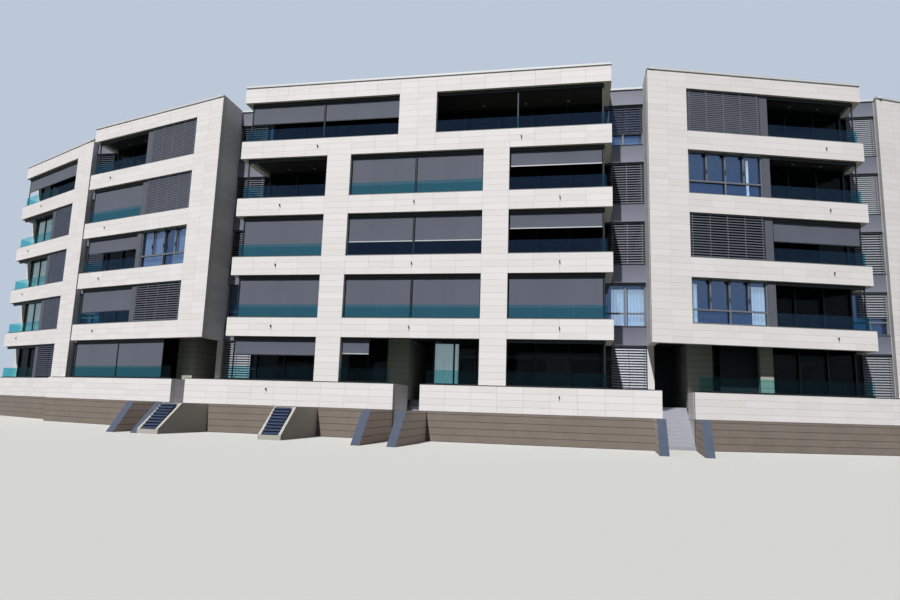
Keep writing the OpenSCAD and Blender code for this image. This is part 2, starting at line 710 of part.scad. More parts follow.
// Rear of a block in the storeys of the front: middles of the windows along X
function spread(x0, x1, n) = [for (i = [0 : n - 1]) x0 + (x1 - x0) * (i + 0.5) / n];
centre_rear = spread(-inner_x, inner_x, 5);
side_rear = spread(inner_x + wall_t, end_x, 3);
end_rear = spread(end_x + wall_t, end_far_x - wall_t, 2);
module rear_band(x0, x1, y) {
    for (k = [0 : roof_k]) box(x0, x1, y - wall_t, y, k == 0 ? 0 : band_low(k), band_top(k));
}
module rear_pier(x0, x1, y, xs) {
    h = rear_window / 2;
    from = concat([x0], [for (x = xs) x + h]);
    to = concat([for (x = xs) x - h], [x1]);
    for (k = [0 : storeys - 1]) for (i = [0 : len(xs)])
        box(from[i], to[i], y - wall_t, y, band_top(k), band_low(k + 1));
}
module rear_bands() {
    rear_band(-inner_x, inner_x, centre_depth);
    both() {
        rear_band(inner_x + wall_t, end_x, side_depth);
        rear_band(end_x + wall_t, end_far_x - wall_t, end_depth);
    }
}
module rear_piers() {
    rear_pier(-inner_x, inner_x, centre_depth, centre_rear);
    both() {
        rear_pier(inner_x + wall_t, end_x, side_depth, side_rear);
        rear_pier(end_x + wall_t, end_far_x - wall_t, end_depth, end_rear);
    }
}
module rear_frames(y, xs) {
    for (k = [0 : storeys - 1]) for (x = xs)
        difference() {
            box(x - rear_window / 2, x + rear_window / 2, y - 100, y - 60, band_top(k), band_low(k + 1));
            for (s = [-1, 1]) {
                inner = rear_window / 2 - frame_f;
                box(x + (s < 0 ? -inner : frame_f / 2), x + (s < 0 ? -frame_f / 2 : inner),
                    y - 101, y - 59, band_top(k) + frame_f, band_low(k + 1) - frame_f);
            }
        }
}
module rear_panes(y, xs) {
    for (k = [0 : storeys - 1]) for (x = xs)
        box(x - rear_window / 2, x + rear_window / 2, y - 100 - glass_t, y - 100,
            band_top(k), band_low(k + 1));
}
module rear_windows() {
    rear_frames(centre_depth, centre_rear);
    both() {
        rear_frames(side_depth, side_rear);
        rear_frames(end_depth, end_rear);
    }
}
module rear_glass() {
    rear_panes(centre_depth, centre_rear);
    both() {
        rear_panes(side_depth, side_rear);
        rear_panes(end_depth, end_rear);
    }
}

// Closed outer ends of the end blocks
module end_walls() {
    both() slab([at(END, far_in(END), end_loggia) - [0, front_y],
        [end_far_x, at(END, far_in(END), end_loggia)[1] - front_y],
        [end_far_x, end_depth], [end_far_x - wall_t, end_depth]], 0, roof_top);
}

clad = "#ece9e4";
grey = "#80848f";
dark = "#33363b";
color(clad) bands(CENTRE);  // centre_bands
color(clad) mirrored() bands(SIDE);  // left_bands
color(clad) bands(SIDE);  // right_bands
color(clad) mirrored() bands(END);  // far_left_bands
color(clad) bands(END);  // far_right_bands
color(clad) centre_piers();
color(clad) mirrored() side_piers();  // left_piers
color(clad) side_piers();  // right_piers
color(clad) mirrored() end_piers();  // far_left_piers
color(clad) end_piers();  // far_right_piers
color(clad) band_returns();
color(clad) side_walls();
color(clad) party_walls();
color(grey) cross_walls();
color("silver") centre_floors();
color("silver") mirrored() side_floors();  // left_floors
color("silver") side_floors();  // right_floors
color("silver") mirrored() end_floors();  // far_left_floors
color("silver") end_floors();  // far_right_floors
color("silver") link_floors();
color("silver") balcony_slabs();
color(dark) centre_windows();
color(dark) mirrored() wing_windows(SIDE);  // left_windows
color(dark) wing_windows(SIDE);  // right_windows
color(dark) mirrored() wing_windows(END);  // far_left_windows
color(dark) wing_windows(END);  // far_right_windows
color(grey) link_spandrels();
color(dark) link_windows();
color("#9fb8c8") front_glass();
color("#7fb0b8") balustrades();
color("#6f7580") screens();
color("#5a5856") blinds();
color(dark) screen_heads();
color(grey) screen_posts();
color(clad) garden_walls();
color("tan") plinth_walls();
color(clad) terrace_walls();
color(clad) entrance_walls();
color("gray") passage_floors();
color(dark) entrance_doors();
color("tan") approach_steps();
color(grey) approach_walls();
color(clad) vent_kerbs();
color(dark) vent_louvres();
color(clad) rear_bands();
color(clad) rear_piers();
color(dark) rear_windows();
color("#9fb8c8") rear_glass();
color(clad) end_walls();
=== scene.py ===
"""Looks of an apartment block of five white-clad wings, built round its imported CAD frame."""

import math
import random

import bmesh
import bpy
from mathutils import Matrix, Vector


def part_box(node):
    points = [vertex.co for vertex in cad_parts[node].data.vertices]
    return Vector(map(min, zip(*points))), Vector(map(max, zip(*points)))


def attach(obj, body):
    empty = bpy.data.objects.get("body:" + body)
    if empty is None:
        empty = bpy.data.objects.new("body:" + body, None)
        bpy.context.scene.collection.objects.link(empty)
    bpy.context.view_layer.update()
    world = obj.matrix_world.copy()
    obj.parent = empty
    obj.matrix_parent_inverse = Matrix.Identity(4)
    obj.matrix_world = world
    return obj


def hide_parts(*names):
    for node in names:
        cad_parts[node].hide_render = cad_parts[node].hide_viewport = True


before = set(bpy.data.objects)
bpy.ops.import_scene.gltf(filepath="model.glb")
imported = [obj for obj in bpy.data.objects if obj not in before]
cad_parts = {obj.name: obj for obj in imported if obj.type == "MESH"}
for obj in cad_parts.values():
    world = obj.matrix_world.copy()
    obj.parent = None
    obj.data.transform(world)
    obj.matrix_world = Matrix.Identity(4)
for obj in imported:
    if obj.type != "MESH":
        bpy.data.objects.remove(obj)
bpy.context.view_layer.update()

# Setting out
# The block stands on the front lines of its wings and links. A line's matrix turns its own run,
# depth and height into the frame's metres: the run goes along the front, and the depth along +Y.
storeys = 5
storey_h = 1.5
band_h = 0.45
upstand = 0.2
slab_t = 0.15
garden_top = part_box("garden_walls")[1].z
ground_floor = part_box("passage_floors")[1].z
roof_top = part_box("centre_bands")[1].z
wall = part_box("centre_bands")[1].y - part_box("centre_bands")[0].y


def band_top(k):
    return garden_top + k * storey_h


def band_low(k):
    return band_top(k) - band_h


def floor_top(k):
    return band_top(k) - upstand if k else ground_floor


def ceiling(k):
    return floor_top(k + 1) - slab_t


class Front:
    """The front line of a wing or link, from its near corner to its far corner."""

    def __init__(self, near_x, near_y, far_x, far_y, side):
        self.width = math.hypot(far_x - near_x, far_y - near_y)
        run = Vector((far_x - near_x, far_y - near_y)) / self.width
        self.side = side
        self.along = Vector((side * run.x, run.y, 0))
        self.outward = Vector((side * run.y, -run.x, 0))
        self.matrix = Matrix(
            (
                (side * run.x, 0, 0, side * near_x),
                (run.y, 1, 0, near_y),
                (0, 0, 1, 0),
                (0, 0, 0, 1),
            )
        )

    def spot(self, run, depth, height):
        return self.matrix @ Vector((run, depth, height))

    def depth(self, place):
        return (self.matrix.inverted() @ place).y


centre_low, centre_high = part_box("centre_bands")
front_y = centre_low.y
side_near, side_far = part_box("right_piers")[0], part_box("right_bands")[1]
end_near, end_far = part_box("far_right_piers")[0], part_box("far_right_bands")[1]
inner_link_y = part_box("side_walls")[1].y
outer_link_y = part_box("link_spandrels")[1].y - wall

centre = Front(centre_low.x, front_y, centre_high.x, front_y, 1)
right, left = (
    Front(side_near.x, side_near.y, side_far.x, side_far.y - wall, side) for side in (1, -1)
)
far_right, far_left = (
    Front(end_near.x, end_near.y, end_far.x, end_far.y - wall, side) for side in (1, -1)
)
right_inner_link, left_inner_link = (
    Front(centre_high.x - wall, inner_link_y, side_near.x, inner_link_y, side) for side in (1, -1)
)
right_outer_link, left_outer_link = (
    Front(side_far.x - wall, outer_link_y, end_near.x, outer_link_y, side) for side in (1, -1)
)
wings = {
    "centre": centre,
    "right": right,
    "left": left,
    "far_right": far_right,
    "far_left": far_left,
}
links = [right_inner_link, left_inner_link, right_outer_link, left_outer_link]

# White facade panels
# Large matt ceramic panels hang in front of the walls with open joints between them, in rows of
# 0.15 m that line up with the bands. Behind the joints lies a dark grey membrane on the wall.
def srgb(red, green, blue):
    """A colour as its sRGB bytes, turned into the linear values that shaders take."""
    linear = [
        c / 12.92 if c <= 0.04045 else ((c + 0.055) / 1.055) ** 2.4
        for c in (red / 255, green / 255, blue / 255)
    ]
    return (*linear, 1)


class Signal:
    """A value in a node tree, so that shader maths reads as a Python expression."""

    def __init__(self, tree, socket):
        self.tree = tree
        self.socket = socket

    def maths(self, operation, *terms):
        return self.tree.node("ShaderNodeMath", {"operation": operation}, dict(enumerate(terms)))

    def sine(self):
        return self.maths("SINE", self)

    def __add__(self, other):
        return self.maths("ADD", self, other)

    def __sub__(self, other):
        return self.maths("SUBTRACT", self, other)

    def __rsub__(self, other):
        return self.maths("SUBTRACT", other, self)

    def __mul__(self, other):
        return self.maths("MULTIPLY", self, other)

    def __truediv__(self, other):
        return self.maths("DIVIDE", self, other)

    def __mod__(self, other):
        return self.maths("FLOORED_MODULO", self, other)

    def __lt__(self, other):
        return self.maths("LESS_THAN", self, other)

    def __gt__(self, other):
        return self.maths("GREATER_THAN", self, other)

    __radd__ = __add__
    __rmul__ = __mul__


class Tree:
    """A node tree, whose nodes all come from one method."""

    def __init__(self, tree):
        self.nodes = tree.nodes
        self.links = tree.links

    def put(self, node, values):
        for name, value in values.items():
            if isinstance(value, Signal):
                self.links.new(value.socket, node.inputs[name])
            else:
                node.inputs[name].default_value = value

    def node(self, kind, settings=None, values=None, output=0):
        """One node: its settings are set first, then the values or links of its sockets."""
        made = self.nodes.new(kind)
        for name, value in (settings or {}).items():
            setattr(made, name, value)
        self.put(made, values or {})
        return Signal(self, made.outputs[output])


class Finish(Tree):
    """A material: constants sit on the Principled shader, and what varies is linked to it."""

    def __init__(self, name, constants):
        self.material = bpy.data.materials.new(name)
        self.material.use_nodes = True
        super().__init__(self.material.node_tree)
        self.shader = self.nodes["Principled BSDF"]
        self.put(self.shader, constants)

    def place(self):
        return self.node("ShaderNodeTexCoord", output="Object")

    def xyz(self):
        place = self.place()
        return [
            self.node("ShaderNodeSeparateXYZ", values={"Vector": place}, output=i) for i in range(3)
        ]

    def normal(self, axis):
        """One part of the direction that the surface faces."""
        facing = self.node("ShaderNodeNewGeometry", output="Normal")
        return self.node("ShaderNodeSeparateXYZ", values={"Vector": facing}, output=axis)

    def noise(self, scale, detail, stretch=(1, 1, 1)):
        place = self.node("ShaderNodeMapping", values={"Vector": self.place(), "Scale": stretch})
        return self.node(
            "ShaderNodeTexNoise", values={"Vector": place, "Scale": scale, "Detail": detail}
        )

    def mix(self, share, first, second):
        return self.node(
            "ShaderNodeMix",
            {"data_type": "RGBA", "clamp_factor": True},
            {"Factor": share, 6: first, 7: second},
            output=2,
        )

    def tones(self, scale, detail, dark, light):
        """A colour that drifts between two, which are given as sRGB bytes."""
        return self.mix(self.noise(scale, detail), srgb(*dark), srgb(*light))

    def paint(self, **varying):
        """Links what varies over the surface, with _ for the blank in a socket's name."""
        self.put(self.shader, {name.replace("_", " "): v for name, v in varying.items()})

    def bump(self, height, distance):
        self.paint(
            Normal=self.node("ShaderNodeBump", values={"Height": height, "Distance": distance})
        )


panel_w = 0.575
panel_h = 0.15
panel_t = 0.005
joint_w = 0.004
membrane_t = 0.001
same_edge = 0.02
front_zone = 0.03
facing_cos = 0.99
sliver = 0.01
beyond = 99

panel = Finish("white_ceramic_panel", {"Roughness": 0.62, "Specular IOR Level": 0.3})
tone = panel.node("ShaderNodeNewGeometry", output="Random Per Island")
cloud = panel.noise(3.0, 4.0)
panel.paint(
    Base_Color=panel.mix(tone * 0.65 + cloud * 0.35, srgb(229, 226, 226), srgb(240, 238, 240))
)
panel.bump(panel.noise(220.0, 3.0), 0.0004)

membrane = Finish("joint_membrane", {"Roughness": 0.9})
membrane.paint(Base_Color=membrane.tones(6.0, 2.0, (110, 107, 105), (128, 125, 122)))


def wall_faces(
    nodes, facing, low=(-beyond,) * 3, high=(beyond,) * 3, skipped=lambda face: False
):
    """The faces of some nodes that look one way, inside a box, as flat sheets of their own."""
    shape = bmesh.new()
    for node in nodes:
        shape.from_mesh(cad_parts[node].data)
    bmesh.ops.remove_doubles(shape, verts=shape.verts, dist=1e-5)
    away = [
        face for face in shape.faces if face.normal.dot(facing) < facing_cos or skipped(face)
    ]
    bmesh.ops.delete(shape, geom=away, context="FACES")
    bmesh.ops.dissolve_limit(
        shape, angle_limit=math.radians(1), verts=shape.verts, edges=shape.edges
    )
    for axis in range(3):
        direction = Vector([i == axis for i in range(3)])
        for corner, outward in ((low, -direction), (high, direction)):
            bmesh.ops.bisect_plane(
                shape,
                geom=[*shape.verts, *shape.edges, *shape.faces],
                plane_co=direction * corner[axis],
                plane_no=outward,
                clear_outer=True,
            )
    return shape


def cut(shape, level, across):
    bmesh.ops.bisect_plane(
        shape,
        geom=[*shape.verts, *shape.edges, *shape.faces],
        dist=1e-4,
        plane_co=across * level,
        plane_no=across,
    )


def spread(edges, width):
    """Levels that split each stretch between edges into even parts of about one width."""
    levels = []
    for start, end in zip(edges, edges[1:]):
        parts = max(1, round((end - start) / width))
        levels += [start + (end - start) * i / parts for i in range(parts)]
    return levels


def thicken(shape, faces, out):
    """Draws flat faces out into closed slabs."""
    made = bmesh.ops.extrude_face_region(shape, geom=faces, use_keep_orig=True)["geom"]
    moved = [part for part in made if isinstance(part, bmesh.types.BMVert)]
    bmesh.ops.translate(shape, verts=moved, vec=out)


def clad(skin, sheets, facing):
    """Covers flat sheets with panels whose joints line up with the edges of the openings."""
    if not sheets.faces:
        sheets.free()
        return
    along = facing.cross(Vector((0, 0, 1)))
    marks = sorted(vert.co.dot(along) for vert in sheets.verts)
    edges = [marks[0]]
    edges += [b for a, b in zip(marks, marks[1:]) if b - a > same_edge]
    backing = sheets.copy()
    for level in spread(edges, panel_w):
        cut(sheets, level, along)
    heights = [vert.co.z for vert in sheets.verts]
    first = math.ceil((min(heights) - garden_top) / panel_h)
    last = math.floor((max(heights) - garden_top) / panel_h)
    for row in range(first, last + 1):
        cut(sheets, garden_top + row * panel_h, Vector((0, 0, 1)))
    rims = bmesh.ops.inset_individual(sheets, faces=sheets.faces[:], thickness=joint_w / 2)
    bmesh.ops.delete(sheets, geom=rims["faces"], context="FACES")
    bmesh.ops.translate(sheets, verts=sheets.verts, vec=facing * membrane_t)
    thicken(sheets, sheets.faces[:], facing * panel_t)
    thicken(backing, backing.faces[:], facing * membrane_t)
    for shape, finish in ((sheets, 0), (backing, 1)):
        for face in shape.faces:
            face.material_index = finish
            face.smooth = False
        joined = bpy.data.meshes.new("joined")
        shape.to_mesh(joined)
        shape.free()
        skin.from_mesh(joined)


def piece(name, shape, finishes, replaced=()):
    """Turns a finished bmesh into a piece that stands at the origin and rides on the block."""
    bmesh.ops.recalc_face_normals(shape, faces=shape.faces)
    mesh = bpy.data.meshes.new(name)
    shape.to_mesh(mesh)
    shape.free()
    for finish in finishes:
        mesh.materials.append(finish.material)
    made = bpy.data.objects.new(name, mesh)
    bpy.context.scene.collection.objects.link(made)
    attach(made, "root")
    if replaced:
        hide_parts(*replaced)
    return made


for name, front in wings.items():
    skin = bmesh.new()
    sheets = wall_faces(
        [name + "_bands", name + "_piers"],
        front.outward,
        skipped=lambda face: front.depth(face.calc_center_median()) > front_zone,
    )
    clad(skin, sheets, front.outward)
    piece("panels_" + name, skin, [panel, membrane])

# The box that holds one half of the block, so that faces of the other half stay out
half = {
    1: ((sliver, -beyond, -beyond), (beyond, beyond, beyond)),
    -1: ((-beyond, -beyond, -beyond), (-sliver, beyond, beyond)),
}
skin = bmesh.new()
for front in (centre, right, left, far_right, far_left):
    for low, high in half.values() if front is centre else [half[front.side]]:
        clad(skin, wall_faces(["garden_walls"], front.outward, low, high), front.outward)
piece("panels_garden_walls", skin, [panel, membrane])

centre_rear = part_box("centre_floors")[1].y + wall
side_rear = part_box("right_floors")[1].y + wall
end_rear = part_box("rear_bands")[1].y
bank_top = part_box("garden_walls")[0].z
skin = bmesh.new()
for side in (1, -1):
    sideways = Vector((side, 0, 0))
    low, high = half[side]
    clad(skin, wall_faces(["band_returns", "end_walls"], sideways, low, high), sideways)
    clad(skin, wall_faces(["side_walls"], -sideways, low, high), -sideways)
    for x, start, end in (
        (end_near.x, -beyond, outer_link_y),
        (end_near.x, side_rear, beyond),
        (side_near.x, centre_rear, beyond),
    ):
        ends = sorted((side * (x - sliver), side * (x + sliver)))
        strip = wall_faces(
            ["party_walls"], -sideways, (ends[0], start, -beyond), (ends[1], end, beyond)
        )
        clad(skin, strip, -sideways)
    for facing in (sideways, -sideways):
        walls = wall_faces(
            ["terrace_walls"], facing, (low[0], -beyond, bank_top), (high[0], beyond, beyond)
        )
        clad(skin, walls, facing)
piece("panels_returns", skin, [panel, membrane])

skin = bmesh.new()
backward = Vector((0, 1, 0))
clad(skin, wall_faces(["rear_bands", "rear_piers"], backward), backward)
piece("panels_rear", skin, [panel, membrane])

# Walls behind the panels
# The walls that carry the panels show at their undersides and in the reveals of the openings.
# They are lined in the same white. The soffits are smooth boards, drawn in cream as painted
# bounce light from the ground below.
lining = Finish("white_lining", {"Roughness": 0.7})
# Faces that look down take a cream colour: painted bounce light from the ground below.
painted_bounce_soffit = lining.normal(2) < -0.5
lining.paint(
    Base_Color=lining.mix(
        painted_bounce_soffit,
        lining.tones(4.0, 2.0, (214, 212, 212), (226, 224, 224)),
        srgb(226, 222, 198),
    )
)
lining.bump(lining.noise(160.0, 3.0), 0.0004)


def refinish(nodes, finish):
    """Gives CAD nodes their finish."""
    for node in nodes:
        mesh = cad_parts[node].data
        mesh.materials.clear()
        mesh.materials.append(finish.material)


for kind in ("_bands", "_piers"):
    refinish([name + kind for name in (*wings, "rear")], lining)
refinish(["band_returns", "side_walls", "party_walls", "end_walls"], lining)
refinish(["garden_walls", "terrace_walls"], lining)

# Dark render
# Smooth grey-blue plaster on the cross walls of the balconies, and thin covers of the same on the
# fins beside the windows. Runs along a wing are counted from its near corner.
side_pier = 0.94
side_window = 1.81
end_pier = 0.955
end_window = 1.25
fin_w = 0.19
side_bay = side_pier + side_window + fin_w
end_bay = end_pier + end_window + fin_w
cover_t = 0.002
cover_front = 0.058
clearance = 0.001


def block(shape, front, low, high):
    """A straight bar between two corners in a front's own run, depth and height."""
    low, high = Vector(low), Vector(high)
    size = Matrix.Diagonal((*(high - low), 1))
    placed = front.matrix @ Matrix.Translation((low + high) / 2) @ size
    return bmesh.ops.create_cube(shape, size=1, matrix=placed)["verts"]


render_coat = Finish("grey_blue_render", {"Roughness": 0.85})
render_coat.paint(Base_Color=render_coat.tones(2.5, 4.0, (88, 91, 103), (97, 100, 112)))
render_coat.bump(render_coat.noise(120.0, 4.0), 0.0008)
refinish(["cross_walls"], render_coat)
fins = bmesh.new()
for name, front in wings.items():
    if name != "centre":
        far = name.startswith("far")
        end = end_bay if far else side_bay
        for k in range(0 if far else 1, storeys - 1 if far else storeys):
            block(
                fins,
                front,
                (end - fin_w - cover_t, cover_front, band_top(k)),
                (end + cover_t, wall - clearance, band_low(k + 1)),
            )
piece("fin_covers", fins, [render_coat])

# Hall boards
# Boards with dark joints line the walls of the entrance halls. They lie in the shade of the storey
# above, and their grey-beige colour, darker than the white panels, is painted shade.
board_h = 0.15
board_gap = 0.006
hall_board = Finish("hall_boards_painted_shade", {"Roughness": 0.8})
x, y, z = hall_board.xyz()
board_joint = ((z - garden_top) % board_h) < board_gap
# The grey-beige board colour is painted shade from the storey above.
hall_board.paint(
    Base_Color=hall_board.mix(
        board_joint,
        hall_board.tones(2.0, 4.0, (168, 170, 160), (182, 184, 174)),
        srgb(70, 68, 60),
    )
)
hall_board.bump(1 - board_joint, 0.003)
refinish(["entrance_walls"], hall_board)

# Floors and balcony ceilings
# Cast concrete slabs. All their faces but the tops, the balcony ceilings among them, are drawn
# near-black as painted shade, and their tops carry grey paving or, on the roof, a grey membrane in
# welded strips.
strip_w = 1.0
weld_w = 0.03
slab = Finish("slab", {"Roughness": 0.8})
x, y, z = slab.xyz()
weld = ((x % strip_w) < weld_w) * (z > roof_top - upstand - sliver)
upper = slab.normal(2) > 0.5
# Faces that don't look up are drawn near-black: painted shade.
slab.paint(
    Base_Color=slab.mix(
        upper,
        slab.tones(3.0, 3.0, (46, 44, 42), (56, 54, 52)),
        slab.tones(1.2, 5.0, (122, 121, 117), (138, 137, 133)),
    )
)
slab.bump(weld + slab.noise(90.0, 3.0) * 0.1, 0.004)
refinish([name + "_floors" for name in wings], slab)
refinish(["link_floors", "balcony_slabs"], slab)

# Window frames
# Extruded aluminium with an anthracite powder coat. In the facade windows with no blind down, the
# frames take a lighter grey copy of the coat: painted light for their sunlit faces.
frame_coat = Finish("anthracite_powder_coat", {"Metallic": 0.25, "Specular IOR Level": 0.4})
frame_coat.paint(
    Base_Color=frame_coat.tones(1.5, 3.0, (30, 32, 36), (38, 40, 45)),
    Roughness=frame_coat.noise(300.0, 2.0) * 0.1 + 0.42,
)
frame_coat.bump(frame_coat.noise(900.0, 2.0), 0.0001)
# A lighter copy of the frame coat for the sunlit frames: painted light.
painted_light_frame_coat = Finish("grey_frame_coat_painted_light", {"Metallic": 0.2, "Specular IOR Level": 0.4})
painted_light_frame_coat.paint(
    Base_Color=painted_light_frame_coat.tones(1.5, 3.0, (112, 116, 125), (124, 128, 137)),
    Roughness=painted_light_frame_coat.noise(300.0, 2.0) * 0.1 + 0.42,
)
facade_zone = 0.2
facade_slack = 0.05


def refinish_facade(nodes, finish, openings):
    """Gives a second finish to the parts of CAD nodes in some openings of the facade itself."""
    for node in nodes:
        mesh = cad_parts[node].data
        mesh.materials.append(finish.material)
        for face in mesh.polygons:
            for front, k in openings:
                run, depth, height = front.matrix.inverted() @ face.center
                inside = -facade_slack < run < front.width + facade_slack
                inside = inside and 0 < depth < facade_zone
                if inside and band_top(k) - sliver < height < band_low(k + 1) + sliver:
                    face.material_index = 1


refinish([name + "_windows" for name in wings], frame_coat)
refinish(["link_windows", "rear_windows", "entrance_doors"], frame_coat)
unshaded = [(right, 1), (right, 3), (left, 2)]
unshaded += [(link, 1) for link in links] + [(link, 4) for link in links[:2]]
refinish_facade([name + "_windows" for name in (*wings, "link")], painted_light_frame_coat, unshaded)

# Window glass
# Double glazing. In the facade windows with no blind down the panes carry a painted reflection of
# a blue sky, greyer towards the head of each window; the panes behind the blinds and the balconies
# stay dark as painted shade of the unlit rooms, and so do the opaque panes at the rear.
window_glass = Finish("window_glass", {"Metallic": 0.9, "Roughness": 0.03})
x, y, z = window_glass.xyz()
height = ((z - garden_top) % storey_h) / (storey_h - band_h)
# The blue is a painted reflection of a blue sky.
window_glass.paint(
    Base_Color=window_glass.mix(
        height * 0.8 + window_glass.noise(0.5, 1.0, (1, 1, 2)) * 0.3,
        srgb(124, 158, 214),
        srgb(150, 170, 198),
    )
)
# Its dark body is painted shade of the unlit rooms behind.
door_glass = Finish("balcony_door_glass", {"Roughness": 0.04, "Specular IOR Level": 0.3})
door_glass.paint(Base_Color=door_glass.tones(0.5, 1.0, (14, 18, 24), (22, 28, 38)))


def see_through(finish, share, tint):
    """Lets a share of the light straight through a sheet of glass, with a tint."""
    solid = Signal(finish, finish.shader.outputs[0])
    clear = finish.node("ShaderNodeBsdfTransparent", values={"Color": tint})
    glass = finish.node("ShaderNodeMixShader", values={"Fac": share, 1: solid, 2: clear})
    finish.put(finish.nodes["Material Output"], {"Surface": glass})


see_through(window_glass, 0.72, srgb(230, 240, 246))
see_through(door_glass, 0.74, srgb(222, 236, 238))
# Opaque dark panes: painted shade of the unlit rooms behind.
rear_pane = Finish("rear_glass", {"Roughness": 0.04, "Specular IOR Level": 0.4})
rear_pane.paint(Base_Color=rear_pane.tones(0.5, 1.0, (22, 27, 36), (36, 44, 58)))
refinish(["front_glass"], door_glass)
refinish_facade(["front_glass"], window_glass, unshaded)
refinish(["rear_glass"], rear_pane)

# Glass balustrades
# Laminated panes with a green-blue body and polished edges, clamped in a dark channel on the band.
# The light colour on their top faces is a painted highlight.
# They close every open bay of a storey, apart from the passage in the middle of the centre wing.
centre_pier = 0.61
centre_mid = 3.28
top_pier = 0.93
passage_half = 0.31
centre_near = (centre.width - centre_mid) / 2 - centre_pier
centre_far = centre_near + centre_pier + centre_mid
top_near = (centre.width - top_pier) / 2
rail_glass = Finish("balustrade_glass", {"Roughness": 0.02, "Specular IOR Level": 0.35})
# Faces that look up take a light colour: a painted highlight on the top edges.
edge = rail_glass.normal(2) > 0.5
x, y, z = rail_glass.xyz()
body = rail_glass.mix(z > garden_top + storey_h / 2, srgb(34, 44, 54), srgb(76, 94, 136))
rail_glass.paint(Base_Color=rail_glass.mix(edge, body, srgb(190, 212, 214)))
see_through(rail_glass, 0.92, srgb(212, 249, 251))
refinish(["balustrades"], rail_glass)


def bays(name, k):
    """The open bays of a wing's storey, as runs from and to."""
    width = wings[name].width
    if name == "centre" and k == storeys - 1:
        return [(0, top_near), (top_near + top_pier, width)]
    if name == "centre":
        gap = [] if k else [width / 2 - passage_half, width / 2 + passage_half]
        marks = [0, centre_near, centre_near + centre_pier, *gap, centre_far]
        marks += [centre_far + centre_pier, width]
        return list(zip(marks[::2], marks[1::2]))
    if name in ("left", "right"):
        return [(side_bay if k else side_pier, width)]
    return [(end_bay if k < storeys - 1 else end_pier, width)]


channel = bmesh.new()
channel_h = 0.035
rail_back = 0.05
channel_lip = 0.008
channel_shelf = 0.018
corner_gap = 0.12
pier_gap = 0.005
for name, front in wings.items():
    free_ends = (0, side_pier, front.width)
    free_ends += (front.width / 2 - passage_half, front.width / 2 + passage_half)
    for k in range(storeys):
        for start, end in bays(name, k):
            low = start + (corner_gap if start in free_ends else pier_gap)
            high = end - (corner_gap if end in free_ends else pier_gap)
            block(
                channel,
                front,
                (low, rail_back - channel_lip, band_top(k)),
                (high, rail_back + channel_shelf, band_top(k) + channel_h),
            )
piece("balustrade_channels", channel, [frame_coat])

# Copings
# Folded sheet caps: pale metal on the roof edges, grey on the bands, dark on the garden walls.
# Those on the roof and the garden walls stand proud of the panels and throw a thin shadow on them.
roof_cap_h = 0.045
roof_cap_top = roof_top + 0.003
proud = 0.03
rim = 0.008
pale_metal = Finish("pale_roof_metal", {"Metallic": 0.1, "Specular IOR Level": 0.5})
pale_metal.paint(
    Base_Color=pale_metal.tones(2.0, 3.0, (208, 209, 212), (218, 219, 222)),
    Roughness=pale_metal.noise(8.0, 3.0) * 0.15 + 0.5,
)
caps = bmesh.new()
roof_edges = [(front, 0, -proud, front.width, wall) for front in wings.values()]
for side in (1, -1):
    half_plan = Front(0, 0, 1, 0, side)
    for x, start, end, out in (
        (centre_high.x, front_y, inner_link_y, rim),
        (side_far.x, side_far.y - wall, outer_link_y, rim),
        (end_far.x, end_far.y - wall, end_rear, rim),
        (side_near.x, side_near.y, inner_link_y, -rim),
        (end_near.x, end_near.y, outer_link_y, -rim),
        (side_near.x, centre_rear, side_rear, -rim),
        (end_near.x, side_rear, end_rear, -rim),
    ):
        reach = sorted((x + out, x - math.copysign(wall, out)))
        roof_edges.append((half_plan, reach[0], start, reach[1], end + rim))
    for start, end, y in (
        (0, side_near.x + wall, centre_rear),
        (side_near.x, end_near.x + wall, side_rear),
        (end_near.x, end_far.x, end_rear),
    ):
        roof_edges.append((half_plan, start, y - wall, end, y + rim))
roof_edges += [(front, 0, -proud, front.width, wall) for front in links]
for front, start, outer, end, inner in roof_edges:
    block(caps, front, (start, outer, roof_top - roof_cap_h), (end, inner, roof_cap_top))
piece("roof_caps", caps, [pale_metal])

band_cap_metal = Finish("grey_sill_metal", {"Metallic": 0.3, "Roughness": 0.45})
band_cap_metal.paint(Base_Color=band_cap_metal.tones(3.0, 2.0, (112, 113, 112), (128, 129, 128)))
sill_h = 0.018
sill_front = 0.004
sill_gap = 0.002
sills = bmesh.new()
for name, front in wings.items():
    for k in range(1, storeys):
        openings = bays(name, k)
        if name in ("left", "right"):
            openings.append((side_pier, side_bay))
        elif name != "centre" and k < storeys - 1:
            openings.append((end_pier, end_bay))
        for start, end in openings:
            block(
                sills,
                front,
                (start + sill_gap, sill_front, band_top(k)),
                (end - sill_gap, wall - clearance, band_top(k) + sill_h),
            )
piece("band_sills", sills, [band_cap_metal])

garden_caps = bmesh.new()
garden_cap_h = 0.014
garden_cap_out = 0.012
garden_cap_back = wall + 0.004
garden_run = (end_near.x - side_near.x) / right.along.x
capped = [
    (Front(0, front_y, 1, front_y, side), passage_half, side_near.x + wall) for side in (1, -1)
]
capped += [(front, side_pier, garden_run) for front in (right, left)]
capped += [(front, end_pier, front.width) for front in (far_right, far_left)]
for front, start, end in capped:
    block(
        garden_caps,
        front,
        (start, -garden_cap_out, garden_top),
        (end, garden_cap_back, garden_top + garden_cap_h),
    )
piece("garden_wall_caps", garden_caps, [frame_coat])

